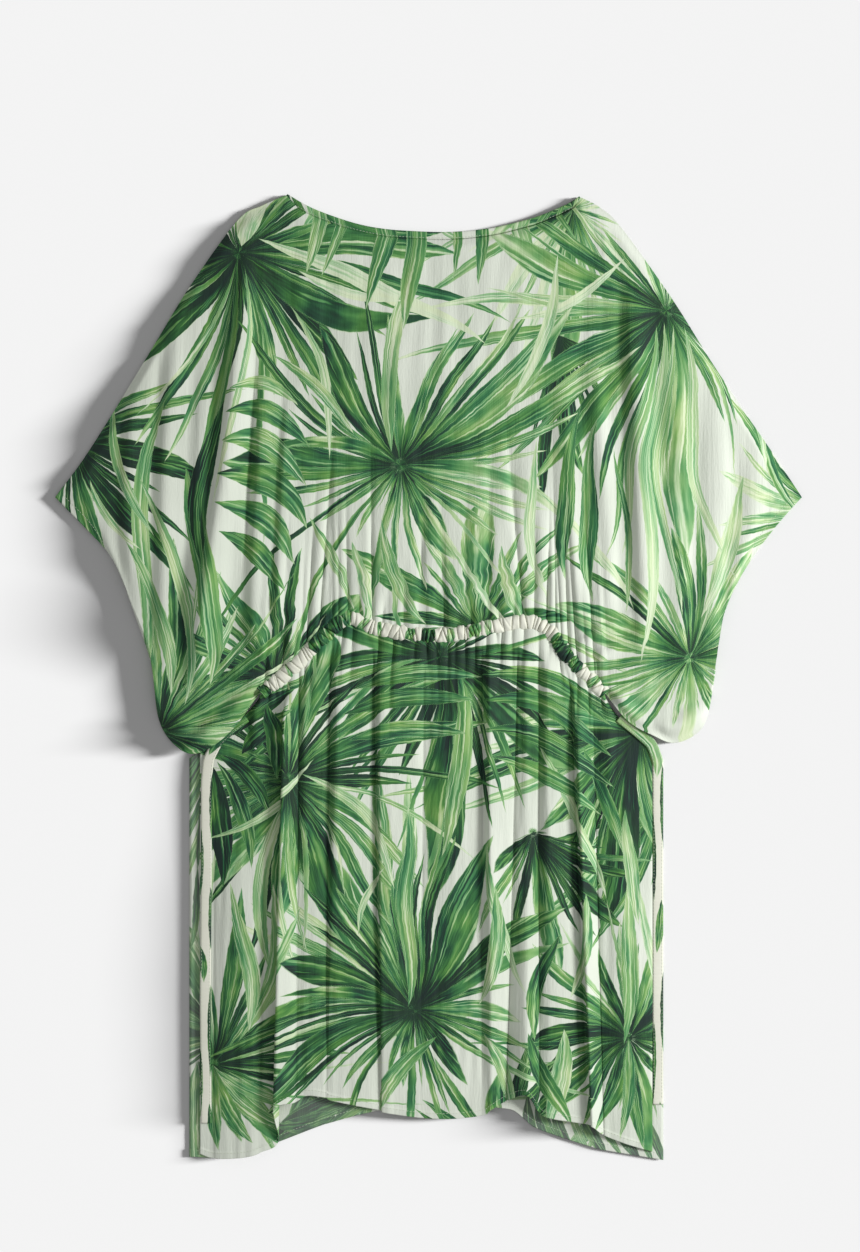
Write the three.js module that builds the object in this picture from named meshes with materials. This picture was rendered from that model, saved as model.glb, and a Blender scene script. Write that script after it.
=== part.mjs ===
import * as THREE from 'three';

// Beach kaftan laid out flat with its back up. Millimetres, +X across, +Y towards the neck, +Z up.
// The front panels lie on z = 0, the back panels lie on them, and both sleeve bottoms lie over
// the top corners of the skirt, with a belt end coming out from under each.

const cloth = { wall: 1.1, seamGap: 0.3, layerGap: 0.6, thickestShare: 2.4 };
const casing = { width: 12, steps: 84, crown: 1.3, ruffle: 1.1, scallop: 0.7, frontSteps: 36 };
const neckBand = { width: 7, seam: 0.45, rise: 0.35, mitreShare: 0.08, frontDepth: 335, frontPower: 2.3 };
const tie = { width: 10, wall: 1, steps: 3 };
const waist = { overlap: 2.5, rampLength: 26, flatLength: 8, foldLength: 48, pastEnd: 4 };
const gathers = { edgeHeight: 0.4, height: 2, reach: 0.36 };
const cornerLift = { height: 5.7, near: 6, far: 18, alongStart: 3, alongFull: 16 };
const puff = { height: 2.2, edgeLength: 45 };
const skirtReach = { left: 223, right: 219 };
const corner = { depth: 60, power: 0.75 };

// Bodice with its sleeves cut in one: each row is a line from the lower edge to the upper edge.
// A sharp row is a corner of the outline: the waist ends and the ends of the neckline.
const bodiceRows = [
  { lowX: -281, lowY: 100, topX: -348, topY: 168, bow: 0, sharp: true },
  { lowX: -275, lowY: 64, topX: -322, topY: 203, bow: 0 },
  { lowX: -258, lowY: 12, topX: -292, topY: 250, bow: 0 },
  { lowX: -251, lowY: -40, topX: -258, topY: 306, bow: 0 },
  { lowX: -234, lowY: -65, topX: -222, topY: 365, bow: 1 },
  { lowX: -213, lowY: -70, topX: -178, topY: 426, bow: 3 },
  { lowX: -184, lowY: -50, topX: -155, topY: 440, bow: 1 },
  { lowX: -156, lowY: -13, topX: -132, topY: 450, bow: 0, sharp: true },
  { lowX: -128, lowY: 9, topX: -110, topY: 438, bow: 0 },
  { lowX: -100, lowY: 37, topX: -87, topY: 429, bow: 0 },
  { lowX: -75, lowY: 57, topX: -64, topY: 422, bow: 0 },
  { lowX: -52, lowY: 48, topX: -42, topY: 418, bow: 0 },
  { lowX: -24, lowY: 43, topX: -18, topY: 416, bow: 0 },
  { lowX: 18, lowY: 41, topX: 18, topY: 415, bow: 0 },
  { lowX: 60, lowY: 49, topX: 54, topY: 418, bow: 0 },
  { lowX: 92, lowY: 53, topX: 82, topY: 424, bow: 0 },
  { lowX: 113, lowY: 45, topX: 103, topY: 430, bow: 0 },
  { lowX: 128, lowY: 23, topX: 118, topY: 436, bow: 0 },
  { lowX: 146, lowY: 5, topX: 131, topY: 442, bow: 0 },
  { lowX: 164, lowY: -14, topX: 141, topY: 448, bow: 0, sharp: true },
  { lowX: 185, lowY: -40, topX: 160, topY: 438, bow: 0 },
  { lowX: 207, lowY: -53, topX: 180, topY: 419, bow: 0 },
  { lowX: 230, lowY: -61, topX: 227, topY: 353, bow: 0 },
  { lowX: 255, lowY: -47, topX: 262, topY: 297, bow: 0 },
  { lowX: 264, lowY: -14, topX: 293, topY: 250, bow: 0 },
  { lowX: 267, lowY: 30, topX: 321, topY: 209, bow: -2 },
  { lowX: 274, lowY: 61, topX: 348, topY: 168, bow: -7, sharp: true },
];
const waistStart = 7;
const waistEnd = 19;
const stepsPerRow = 2;

// Share of each bodice line at which its cross rows lie, between the two fixed waist distances.
const bodiceShares = [0.18, 0.3, 0.44, 0.58, 0.72, 0.86, 1];

// Drape pleats of the back bodice: height of each and where it runs on the lines above.
const bodicePleats = [
  { row: 5, height: 7, left: 0.5, right: 1.1, lowShare: 0, topShare: 0.98 },
  { row: 3.5, height: 4, left: 0.6, right: 0.9, lowShare: 0, topShare: 0.55 },
  { row: 8, height: 4, left: 1, right: 1, lowShare: 0.02, topShare: 0.35 },
  { row: 21, height: 6.5, left: 0.5, right: 1, lowShare: 0, topShare: 0.96 },
  { row: 23, height: 4, left: 0.6, right: 0.9, lowShare: 0, topShare: 0.5 },
];

// Folds of the back skirt, from its left edge to its right: each row is a crest or a valley,
// with its height under the cloth near the waist, half way down and at the hem.
const skirtRows = [
  { topX: -213, hemX: -213, hemY: -444, topRise: 0, midRise: 0, hemRise: 0 },
  { topX: -199, hemX: -200, hemY: -448, topRise: 0, midRise: 0.2, hemRise: 0.3 },
  { topX: -172, hemX: -171, hemY: -447, topRise: 1, midRise: 5, hemRise: 4 },
  { topX: -150, hemX: -155, hemY: -442, topRise: 1, midRise: 1.5, hemRise: 2 },
  { topX: -137, hemX: -146, hemY: -434, topRise: 0, midRise: 0, hemRise: 0 },
  { topX: -129, hemX: -139, hemY: -400, topRise: 8, midRise: 11, hemRise: 13 },
  { topX: -121, hemX: -124, hemY: -395, topRise: 3, midRise: 5, hemRise: 6 },
  { topX: -114, hemX: -112, hemY: -389, topRise: 7, midRise: 5, hemRise: 5 },
  { topX: -89, hemX: -97, hemY: -391, topRise: 1, midRise: 2, hemRise: 4 },
  { topX: -81, hemX: -87, hemY: -394, topRise: 8, midRise: 6, hemRise: 5 },
  { topX: -51, hemX: -47, hemY: -403, topRise: 1, midRise: 1, hemRise: 2 },
  { topX: -43, hemX: -38, hemY: -405, topRise: 7, midRise: 6, hemRise: 4 },
  { topX: -4, hemX: -8, hemY: -410, topRise: 1, midRise: 1, hemRise: 2 },
  { topX: 22, hemX: 22, hemY: -411, topRise: 5, midRise: 2, hemRise: 2 },
  { topX: 50, hemX: 48, hemY: -408, topRise: 0, midRise: 0.5, hemRise: 1 },
  { topX: 58, hemX: 61, hemY: -402, topRise: 7, midRise: 7, hemRise: 3 },
  { topX: 84, hemX: 72, hemY: -394, topRise: 1, midRise: 1, hemRise: 0 },
  { topX: 93, hemX: 93, hemY: -388, topRise: 5, midRise: 4, hemRise: 12 },
  { topX: 103, hemX: 103, hemY: -405, topRise: 1, midRise: 2, hemRise: 4 },
  { topX: 113, hemX: 116, hemY: -410, topRise: 5, midRise: 7, hemRise: 5 },
  { topX: 129, hemX: 146, hemY: -416, topRise: 1, midRise: 1, hemRise: 3 },
  { topX: 138, hemX: 154, hemY: -417, topRise: 8, midRise: 10, hemRise: 11 },
  { topX: 152, hemX: 163, hemY: -426, topRise: 1, midRise: 1, hemRise: 1 },
  { topX: 178, hemX: 184, hemY: -434, topRise: 2, midRise: 4, hemRise: 3 },
  { topX: 208.5, hemX: 208.5, hemY: -442, topRise: 0, midRise: 0, hemRise: 0 },
];
const skirtShares = [0, 0.1, 0.22, 0.36, 0.5, 0.64, 0.77, 0.88];
const widestFlatStep = 17;

// Hem of the front skirt, which shows below the back skirt where its own folds draw that up.
const frontHemRows = [
  { x: -223, y: -447 },
  { x: -180, y: -447 },
  { x: -137, y: -432 },
  { x: -98, y: -417 },
  { x: -47, y: -404 },
  { x: 20, y: -400 },
  { x: 78, y: -403 },
  { x: 98, y: -419 },
  { x: 124, y: -429 },
  { x: 159, y: -440 },
  { x: 219, y: -450 },
];
const frontSkirtShares = [0, 0.35, 0.7];
const frontSideSteps = [1, 0.93, 0.86, 0.79];

// Belt ends: the middle line of each, from the waist seam to its free end.
const tieRoutes = {
  tie_left: [
    { x: -170, y: -37, skirtLayers: 2 },
    { x: -182, y: -46, skirtLayers: 2 },
    { x: -197, y: -60, skirtLayers: 2 },
    { x: -205, y: -76, skirtLayers: 2 },
    { x: -207, y: -98, skirtLayers: 2 },
    { x: -207, y: -190, skirtLayers: 2 },
    { x: -208, y: -300, skirtLayers: 2 },
    { x: -207, y: -415, skirtLayers: 2 },
  ],
  tie_right: [
    { x: 178, y: -37, skirtLayers: 2 },
    { x: 193, y: -49, skirtLayers: 2 },
    { x: 208, y: -62, skirtLayers: 2 },
    { x: 213.9, y: -78, skirtLayers: 2 },
    { x: 213.9, y: -98, skirtLayers: 1 },
    { x: 213.9, y: -190, skirtLayers: 1 },
    { x: 213.9, y: -300, skirtLayers: 1 },
    { x: 213.9, y: -398, skirtLayers: 1 },
  ],
};

const finishes = {
  printedCloth: { color: 0x9db894, roughness: 0.85 },
  clothInside: { color: 0xb9c8ae, roughness: 0.88 },
  greenBinding: { color: 0x5f8f5c, roughness: 0.85 },
  gatheredCasing: { color: 0xa9bd9a, roughness: 0.88 },
  belt: { color: 0x6d9a68, roughness: 0.82 },
};

// Rises smoothly from 0 to 1 as the value goes from start to end, and fade falls the same way.
function grow(value, start, end) {
  return THREE.MathUtils.smoothstep(value, start, end);
}

function fade(value, start, end) {
  return 1 - grow(value, start, end);
}

// A smooth curve through one column of a table, with a corner at each sharp row.
function smoothValue(rows, at, key) {
  const index = Math.min(Math.floor(at), rows.length - 2);
  const share = at - index;
  const [from, to] = [rows[index], rows[index + 1]];
  const before = rows[index - 1];
  const after = rows[index + 2];
  const step = to[key] - from[key];
  const leaving = from.sharp || !before ? step : (to[key] - before[key]) / 2;
  const arriving = to.sharp || !after ? step : (after[key] - from[key]) / 2;
  const bend = share * (1 - share);
  const straight = from[key] + step * share * share * (3 - 2 * share);
  return straight + bend * ((1 - share) * leaving - share * arriving);
}

// The waist seam: its height at a given x, found on the lower edge of the bodice.
function waistY(x) {
  let low = waistStart;
  let high = waistEnd;
  for (let turn = 0; turn < 24; turn += 1) {
    const middle = (low + high) / 2;
    if (smoothValue(bodiceRows, middle, 'lowX') < x) low = middle;
    else high = middle;
  }
  return smoothValue(bodiceRows, low, 'lowY');
}

// The end of the waist seam on the side of x, and the reach of the skirt there.
function sideOf(x) {
  const [end, reach] = x < 0
    ? [bodiceRows[waistStart], skirtReach.left]
    : [bodiceRows[waistEnd], skirtReach.right];
  return { endX: Math.abs(end.lowX), endY: end.lowY, reach };
}

// The upper edge of both skirt panels: the waist seam, and a slope under each sleeve bottom.
function skirtTopY(x) {
  const side = sideOf(x);
  const beyond = Math.abs(x) - side.endX;
  if (beyond <= 0) return waistY(x) - waist.overlap;
  const share = beyond / (side.reach - side.endX);
  return side.endY - waist.overlap - corner.depth * share ** corner.power;
}

// How far the bodice is held up where its sleeve bottoms lie over the corners of the skirt.
function liftOverSkirt(x, y) {
  const side = sideOf(x);
  const outX = Math.abs(x) - side.endX;
  const upY = y - (side.endY - waist.overlap);
  const run = side.reach - side.endX;
  const length = Math.hypot(run, corner.depth);
  const pastSlope = (outX * corner.depth + upY * run) / length;
  const along = (outX * run - upY * corner.depth) / length;
  const outside = Math.max(pastSlope, Math.abs(x) - side.reach);
  const start = grow(along, cornerLift.alongStart, cornerLift.alongFull);
  return cornerLift.height * fade(outside, cornerLift.near, cornerLift.far) * start;
}

// How far each panel rises to lie on the casing strip of the front waist.
function liftAtWaist(distance) {
  const raised = cloth.wall + 1.5 * cloth.seamGap;
  return raised * fade(distance, waist.flatLength, waist.rampLength);
}

// Whether a skirt line hangs from the waist seam, fading just past both of its ends.
function besideWaist(x) {
  return fade(Math.abs(x) - sideOf(x).endX, waist.pastEnd, 3 * waist.pastEnd);
}

// Closes two grids of points, under and over, into one solid wall.
function makeWall(name, under, over, finish) {
  const columns = under.length;
  const rows = under[0].length;
  const sheet = columns * rows;
  const spots = [...under.flat(), ...over.flat()];
  const positions = spots.flatMap((spot) => [spot.x, spot.y, spot.z]);
  const faces = [];
  const quad = (a, b, c, d) => faces.push(a, b, c, a, c, d);
  const at = (i, j) => i * rows + j;
  for (let i = 0; i < columns - 1; i += 1) {
    for (let j = 0; j < rows - 1; j += 1) {
      const [a, b, c, d] = [at(i, j), at(i + 1, j), at(i + 1, j + 1), at(i, j + 1)];
      quad(a + sheet, b + sheet, c + sheet, d + sheet);
      quad(a, d, c, b);
    }
  }
  const wallStrip = (a, b) => quad(a, b, b + sheet, a + sheet);
  for (let i = 0; i < columns - 1; i += 1) {
    wallStrip(at(i, 0), at(i + 1, 0));
    wallStrip(at(i + 1, rows - 1), at(i, rows - 1));
  }
  for (let j = 0; j < rows - 1; j += 1) {
    wallStrip(at(columns - 1, j), at(columns - 1, j + 1));
    wallStrip(at(0, j + 1), at(0, j));
  }
  const geometry = new THREE.BufferGeometry();
  geometry.setAttribute('position', new THREE.Float32BufferAttribute(positions, 3));
  geometry.setIndex(faces);
  geometry.computeVertexNormals();
  const mesh = new THREE.Mesh(geometry, new THREE.MeshStandardMaterial({ ...finish, metalness: 0 }));
  mesh.name = name;
  return mesh;
}

// The outer face of a cloth wall: its height is the wall measured square to the slope.
function thicken(under, wall) {
  const along = new THREE.Vector3();
  const across = new THREE.Vector3();
  return under.map((column, i) => column.map((spot, j) => {
    const columnBefore = under[Math.max(i - 1, 0)];
    const columnAfter = under[Math.min(i + 1, under.length - 1)];
    along.subVectors(columnAfter[j], columnBefore[j]);
    across.subVectors(column[Math.min(j + 1, column.length - 1)], column[Math.max(j - 1, 0)]);
    const normal = along.clone().cross(across).normalize();
    const height = wall * Math.min(1 / Math.abs(normal.z), cloth.thickestShare);
    return new THREE.Vector3(spot.x, spot.y, spot.z + height);
  }));
}

// Stations along the bodice: whole numbers are its rows, the rest lie between them.
function bodiceStations() {
  const stations = [];
  for (let row = 0; row < bodiceRows.length - 1; row += 1) {
    for (let step = 0; step < stepsPerRow; step += 1) stations.push(row + step / stepsPerRow);
  }
  return [...stations, bodiceRows.length - 1];
}

// The line of the bodice at one station, with its upper end on the front or the back neckline.
function bodiceLine(at, side) {
  const read = (key) => smoothValue(bodiceRows, at, key);
  const low = new THREE.Vector2(read('lowX'), read('lowY'));
  const top = new THREE.Vector2(read('topX'), read('topY'));
  const atWaist = at >= waistStart && at <= waistEnd;
  if (side === 'front' && atWaist) {
    const ends = [bodiceRows[waistStart], bodiceRows[waistEnd]];
    const middle = (ends[0].topX + ends[1].topX) / 2;
    const reach = (ends[1].topX - ends[0].topX) / 2;
    const share = Math.abs(top.x - middle) / reach;
    const rim = top.x < middle ? ends[0].topY : ends[1].topY;
    top.y = neckBand.frontDepth + (rim - neckBand.frontDepth) * share ** neckBand.frontPower;
  }
  return { low, top, length: low.distanceTo(top), bow: read('bow'), atWaist };
}

// The share of a line that its neck band and the seam take, mitred at both ends of the neckline.
function bandShare(line, at, seam) {
  if (!line.atWaist) return 0;
  const fromEnd = Math.min(at - waistStart, waistEnd - at) * stepsPerRow;
  const mitred = Math.min(Math.max(fromEnd, neckBand.mitreShare), 1);
  return (mitred * neckBand.width + seam) / line.length;
}

function spotOnLine(line, share) {
  const spot = line.low.clone().lerp(line.top, share);
  spot.x += line.bow * 4 * share * (1 - share);
  return spot;
}

function pleatHeight(at, share) {
  return bodicePleats.reduce((height, pleat) => {
    const offset = at - pleat.row;
    const side = offset < 0 ? fade(-offset, 0, pleat.left) : fade(offset, 0, pleat.right);
    const length = pleat.topShare - pleat.lowShare;
    const fromMiddle = Math.abs(share - pleat.lowShare - length * 0.45) / length;
    return height + pleat.height * side * fade(fromMiddle, 0.3, 0.6);
  }, 0);
}

function gatherHeight(at, index, share) {
  if (at <= waistStart || at >= waistEnd) return 0;
  const crest = index % 2;
  const grown = grow(share, 0.02, 0.08);
  const size = gathers.edgeHeight + (gathers.height - gathers.edgeHeight) * grown;
  return crest * size * fade(share, gathers.reach * 0.3, gathers.reach);
}

// How far the back bodice stands off the front one at one spot.
function drapeHeight(line, at, index, share) {
  const fromLow = share * line.length;
  const toEdge = Math.min(fromLow, (1 - share) * line.length);
  const toCuff = Math.min(at, bodiceRows.length - 1 - at) * puff.edgeLength;
  const inside = grow(Math.min(toEdge, toCuff), 0, puff.edgeLength);
  const offWaist = line.atWaist ? grow(fromLow, waist.flatLength, waist.foldLength) : 1;
  const drape = pleatHeight(at, share) * grow(toCuff, 0, puff.edgeLength) * offWaist;
  return puff.height * inside + drape + gatherHeight(at, index, share);
}

// The underside of a bodice panel, as a grid with one column of points for each station.
function bodiceUnderside(side, shareRange) {
  const stations = bodiceStations();
  const lines = stations.map((at) => bodiceLine(at, side));
  const shares = lines.map((line, i) => shareRange(line, stations[i]));
  const front = lines.map((line, i) => shares[i].map((share) => {
    const spot = spotOnLine(line, share);
    const lift = line.atWaist ? liftAtWaist(share * line.length) : 0;
    return new THREE.Vector3(spot.x, spot.y, Math.max(lift, liftOverSkirt(spot.x, spot.y)));
  }));
  if (side === 'front') return front;
  return thicken(front, cloth.wall).map((column, i) => column.map((spot, j) => {
    const drape = drapeHeight(lines[i], stations[i], i, shares[i][j]);
    return new THREE.Vector3(spot.x, spot.y, spot.z + cloth.layerGap + drape);
  }));
}

function makeBodice(name, side) {
  const panelShares = (line, at) => {
    const top = 1 - bandShare(line, at, neckBand.seam);
    const fixed = [0, waist.flatLength, waist.rampLength].map((distance) => distance / line.length);
    return [...fixed, ...bodiceShares.map((share) => share * top)];
  };
  const under = bodiceUnderside(side, panelShares);
  return makeWall(name, under, thicken(under, cloth.wall), finishes.printedCloth);
}

function makeNeckBand(name, side) {
  const bandShares = (line, at) => [1 - bandShare(line, at, 0), 1];
  const stations = bodiceStations();
  const all = bodiceUnderside(side, bandShares);
  const under = all.filter((column, i) => stations[i] >= waistStart && stations[i] <= waistEnd);
  return makeWall(name, under, thicken(under, cloth.wall + neckBand.rise), finishes.greenBinding);
}

// The casing strip along the waist seam, ruffled by its elastic.
function makeCasing(name, steps, underZ, ruffle) {
  const under = [];
  const over = [];
  for (let step = 0; step <= steps; step += 1) {
    const at = waistStart + (waistEnd - waistStart) * step / steps;
    const nudge = 0.02;
    const ahead = Math.min(at + nudge, waistEnd);
    const behind = Math.max(at - nudge, waistStart);
    const read = (key, where) => smoothValue(bodiceRows, where, key);
    const run = new THREE.Vector2(
      read('lowX', ahead) - read('lowX', behind),
      read('lowY', ahead) - read('lowY', behind),
    ).normalize();
    const crest = ruffle ? step % 2 : 0;
    const half = casing.width / 2 + (ruffle ? casing.scallop * crest : 0);
    const centre = new THREE.Vector2(read('lowX', at), read('lowY', at) - waist.overlap / 2);
    const shares = [-1, 0, 1];
    const spots = shares.map((share) => new THREE.Vector3(
      centre.x - run.y * half * share,
      centre.y + run.x * half * share,
      underZ,
    ));
    under.push(spots);
    over.push(spots.map((spot, j) => {
      const swell = ruffle ? casing.crown * (1 - Math.abs(shares[j])) + casing.ruffle * crest : 0;
      return new THREE.Vector3(spot.x, spot.y, spot.z + cloth.wall + swell);
    }));
  }
  return makeWall(name, under, over, finishes.gatheredCasing);
}

// Skirt lines run from the hem up to the waist, one for each crest, valley and step between them.
function skirtStations() {
  return skirtRows.flatMap((row, i) => {
    if (i === skirtRows.length - 1) return [i];
    const steps = Math.ceil((skirtRows[i + 1].topX - row.topX) / widestFlatStep);
    return Array.from({ length: steps }, (_, step) => i + step / steps);
  });
}

function skirtRise(at, down) {
  const low = Math.min(Math.floor(at), skirtRows.length - 2);
  const share = grow(at - low, 0, 1);
  const read = (key) => THREE.MathUtils.lerp(skirtRows[low][key], skirtRows[low + 1][key], share);
  const upper = THREE.MathUtils.lerp(read('topRise'), read('midRise'), Math.min(down * 2, 1));
  return THREE.MathUtils.lerp(upper, read('hemRise'), Math.max(down * 2 - 1, 0));
}

function makeBackSkirt() {
  const under = skirtStations().map((at) => {
    const low = Math.min(Math.floor(at), skirtRows.length - 2);
    const read = (key) => THREE.MathUtils.lerp(skirtRows[low][key], skirtRows[low + 1][key], at - low);
    const [topX, hemX, hemY] = ['topX', 'hemX', 'hemY'].map(read);
    const topY = skirtTopY(topX);
    const length = topY - hemY;
    const fixed = [waist.rampLength, waist.flatLength, 0].map((distance) => 1 - distance / length);
    return [...skirtShares, ...fixed].map((up) => {
      const fromWaist = (1 - up) * length;
      const lift = liftAtWaist(fromWaist) * besideWaist(topX);
      const rise = skirtRise(at, 1 - up) * grow(fromWaist, waist.flatLength, waist.foldLength);
      return new THREE.Vector3(
        THREE.MathUtils.lerp(hemX, topX, up),
        THREE.MathUtils.lerp(hemY, topY, up),
        cloth.wall + cloth.layerGap + lift + rise,
      );
    });
  });
  return makeWall('back_skirt', under, thicken(under, cloth.wall), finishes.printedCloth);
}

function frontHemY(x) {
  const next = frontHemRows.findIndex((row, i) => i > 0 && row.x >= x);
  const [from, to] = [frontHemRows[next - 1], frontHemRows[next]];
  return THREE.MathUtils.mapLinear(x, from.x, to.x, from.y, to.y);
}

function makeFrontSkirt() {
  const seamStations = bodiceStations().filter((at) => at >= waistStart && at <= waistEnd);
  const seam = seamStations.map((at) => smoothValue(bodiceRows, at, 'lowX'));
  const leftSide = frontSideSteps.map((share) => -share * skirtReach.left);
  const rightSide = frontSideSteps.map((share) => share * skirtReach.right).reverse();
  const across = [...leftSide, ...seam, ...rightSide];
  const under = across.map((x) => {
    const hemY = frontHemY(x);
    const topY = skirtTopY(x);
    const length = topY - hemY;
    const fixed = [waist.rampLength, waist.flatLength, 0].map((distance) => 1 - distance / length);
    return [...frontSkirtShares, ...fixed].map((up) => new THREE.Vector3(
      x,
      THREE.MathUtils.lerp(hemY, topY, up),
      liftAtWaist((1 - up) * length) * besideWaist(x),
    ));
  });
  return makeWall('front_skirt', under, thicken(under, cloth.wall), finishes.clothInside);
}

function makeTie(name) {
  const route = tieRoutes[name];
  const onFront = cloth.wall + cloth.seamGap;
  const levels = { 1: onFront, 2: onFront + cloth.wall + 2 * cloth.layerGap };
  const points = route.map((spot) => new THREE.Vector3(spot.x, spot.y, 0));
  const curve = new THREE.CatmullRomCurve3(points, false, 'centripetal');
  const steps = (route.length - 1) * tie.steps;
  const half = tie.width / 2;
  const under = [];
  for (let step = 0; step <= steps; step += 1) {
    const centre = curve.getPoint(step / steps);
    const run = curve.getTangent(step / steps).normalize();
    const leg = Math.min(Math.floor(step / tie.steps), route.length - 2);
    const [from, to] = [route[leg], route[leg + 1]].map((spot) => levels[spot.skirtLayers]);
    centre.z = THREE.MathUtils.lerp(from, to, step / tie.steps - leg);
    under.push([-1, 1].map((side) => new THREE.Vector3(
      centre.x - run.y * half * side,
      centre.y + run.x * half * side,
      centre.z,
    )));
  }
  return makeWall(name, under, thicken(under, tie.wall), finishes.belt);
}

const group = new THREE.Group();
const casingUnderside = 3 * cloth.wall + 4.4 * cloth.layerGap;
group.add(makeFrontSkirt());
group.add(makeBackSkirt());
group.add(makeBodice('front_bodice', 'front'));
group.add(makeBodice('back_bodice', 'back'));
group.add(makeNeckBand('neck_band_front', 'front'));
group.add(makeNeckBand('neck_band_back', 'back'));
group.add(makeCasing('waist_casing_front', casing.frontSteps, 0, false));
group.add(makeCasing('waist_casing_back', casing.steps, casingUnderside, true));
for (const name of Object.keys(tieRoutes)) group.add(makeTie(name));

export default group;
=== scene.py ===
import math
import random

import bpy
import numpy as np
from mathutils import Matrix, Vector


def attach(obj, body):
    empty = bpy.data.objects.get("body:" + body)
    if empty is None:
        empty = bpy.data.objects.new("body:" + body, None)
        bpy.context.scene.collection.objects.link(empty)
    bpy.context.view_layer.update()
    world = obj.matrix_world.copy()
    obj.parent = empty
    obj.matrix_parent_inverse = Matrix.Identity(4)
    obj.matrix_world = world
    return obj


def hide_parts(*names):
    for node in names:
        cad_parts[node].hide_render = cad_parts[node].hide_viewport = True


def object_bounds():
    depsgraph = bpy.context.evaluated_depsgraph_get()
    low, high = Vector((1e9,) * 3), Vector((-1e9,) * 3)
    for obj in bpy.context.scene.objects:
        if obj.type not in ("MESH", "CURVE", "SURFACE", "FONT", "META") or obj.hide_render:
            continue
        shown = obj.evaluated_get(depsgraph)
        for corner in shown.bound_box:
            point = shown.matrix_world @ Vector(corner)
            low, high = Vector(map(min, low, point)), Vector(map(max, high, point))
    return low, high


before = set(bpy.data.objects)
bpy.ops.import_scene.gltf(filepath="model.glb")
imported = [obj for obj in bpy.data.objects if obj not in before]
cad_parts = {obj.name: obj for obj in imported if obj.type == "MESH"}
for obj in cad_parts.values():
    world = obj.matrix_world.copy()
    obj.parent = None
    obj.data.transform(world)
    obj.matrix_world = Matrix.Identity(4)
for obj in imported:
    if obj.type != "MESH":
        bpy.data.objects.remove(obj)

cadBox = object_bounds()
mm = (cadBox[1].x - cadBox[0].x) / 696  # metres in one millimetre of the pattern
print("frame loaded:", ", ".join(sorted(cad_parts)))

# The bodice with its sleeves cut in one: each row is a line from the lower edge to the upper edge.
bodice = {
    "columns": ("lowX", "lowY", "topX", "topY", "bow"),
    "rows": [
        (-281, 100, -348, 168, 0),
        (-275, 64, -322, 203, 0),
        (-258, 12, -292, 250, 0),
        (-251, -40, -258, 306, 0),
        (-234, -65, -222, 365, 1),
        (-213, -70, -178, 426, 3),
        (-184, -50, -155, 440, 1),
        (-156, -13, -132, 450, 0),
        (-128, 9, -110, 438, 0),
        (-100, 37, -87, 429, 0),
        (-75, 57, -64, 422, 0),
        (-52, 48, -42, 418, 0),
        (-24, 43, -18, 416, 0),
        (18, 41, 18, 415, 0),
        (60, 49, 54, 418, 0),
        (92, 53, 82, 424, 0),
        (113, 45, 103, 430, 0),
        (128, 23, 118, 436, 0),
        (146, 5, 131, 442, 0),
        (164, -14, 141, 448, 0),
        (185, -40, 160, 438, 0),
        (207, -53, 180, 419, 0),
        (230, -61, 227, 353, 0),
        (255, -47, 262, 297, 0),
        (264, -14, 293, 250, 0),
        (267, 30, 321, 209, -2),
        (274, 61, 348, 168, -7),
    ],
    "corners": (0, 7, 19, 26),
    "waistStart": 7,
    "waistEnd": 19,
    "frontNeckDepth": 335,
    "frontNeckPower": 2.3,
    "neckBand": 7,
    "cuffHem": 8,
    "cuffRow": 17,  # from the cuff's edge to the next line
    "puff": 5.0,
    "puffEdge": 16,
    "foldEdge": 14,
    "shell": 0.6,
}

layers = {"wall": 1.1, "gap": 0.6, "casingLift": 1.55, "flat": 8, "ramp": 26, "overlap": 2.5}
sleeveLift = {"height": 5.7, "near": 6, "far": 18, "alongStart": 3, "alongFull": 16}
skirtReach = {"left": 223, "right": 219, "cornerDepth": 60, "cornerPower": 0.75}


def ease(value, start, end):
    share = np.clip((value - start) / (end - start), 0, 1)
    return share * share * (3 - 2 * share)


def runAlong(line):  # how far along a line each of its points is
    return np.concatenate([[0], np.cumsum(np.linalg.norm(np.diff(line, axis=0), axis=1))])


def smoothed(values, across, **padding):  # a running mean with soft ends
    kernel = np.hanning(across) / np.hanning(across).sum()
    return np.convolve(np.pad(values, across // 2, **padding), kernel, "valid")


def link(name, data):
    made = bpy.data.objects.new(name, data)
    bpy.context.scene.collection.objects.link(made)
    return made


def readTable(table, at, key):  # a smooth curve through one column, with a corner at each corner row
    values = np.array([row[table["columns"].index(key)] for row in table["rows"]], float)
    at = np.asarray(at, float)
    index = np.clip(np.floor(at).astype(int), 0, len(values) - 2)
    share = at - index
    corner = np.zeros(len(values), bool)
    corner[list(table["corners"])] = True
    step = values[index + 1] - values[index]
    before = values[np.maximum(index - 1, 0)]
    after = values[np.minimum(index + 2, len(values) - 1)]
    leaving = np.where(corner[index], step, (values[index + 1] - before) / 2)
    arriving = np.where(corner[index + 1], step, (after - values[index]) / 2)
    bend = share * (1 - share)
    straight = values[index] + step * share * share * (3 - 2 * share)
    return straight + bend * ((1 - share) * leaving - share * arriving)


waistStations = np.linspace(bodice["waistStart"], bodice["waistEnd"], 600)
waistX = readTable(bodice, waistStations, "lowX")
waistY = readTable(bodice, waistStations, "lowY")
waistRun = np.concatenate([[0], np.cumsum(np.hypot(np.diff(waistX), np.diff(waistY)))])
lastLine = len(bodice["rows"]) - 1


def sideSizes(x):  # the end of the waist seam on the side of x, and how far the skirt reaches there
    left = x < 0
    endX = np.where(left, -waistX[0], waistX[-1])
    endY = np.where(left, waistY[0], waistY[-1])
    reach = np.where(left, skirtReach["left"], skirtReach["right"])
    return endX, endY, reach


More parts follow.
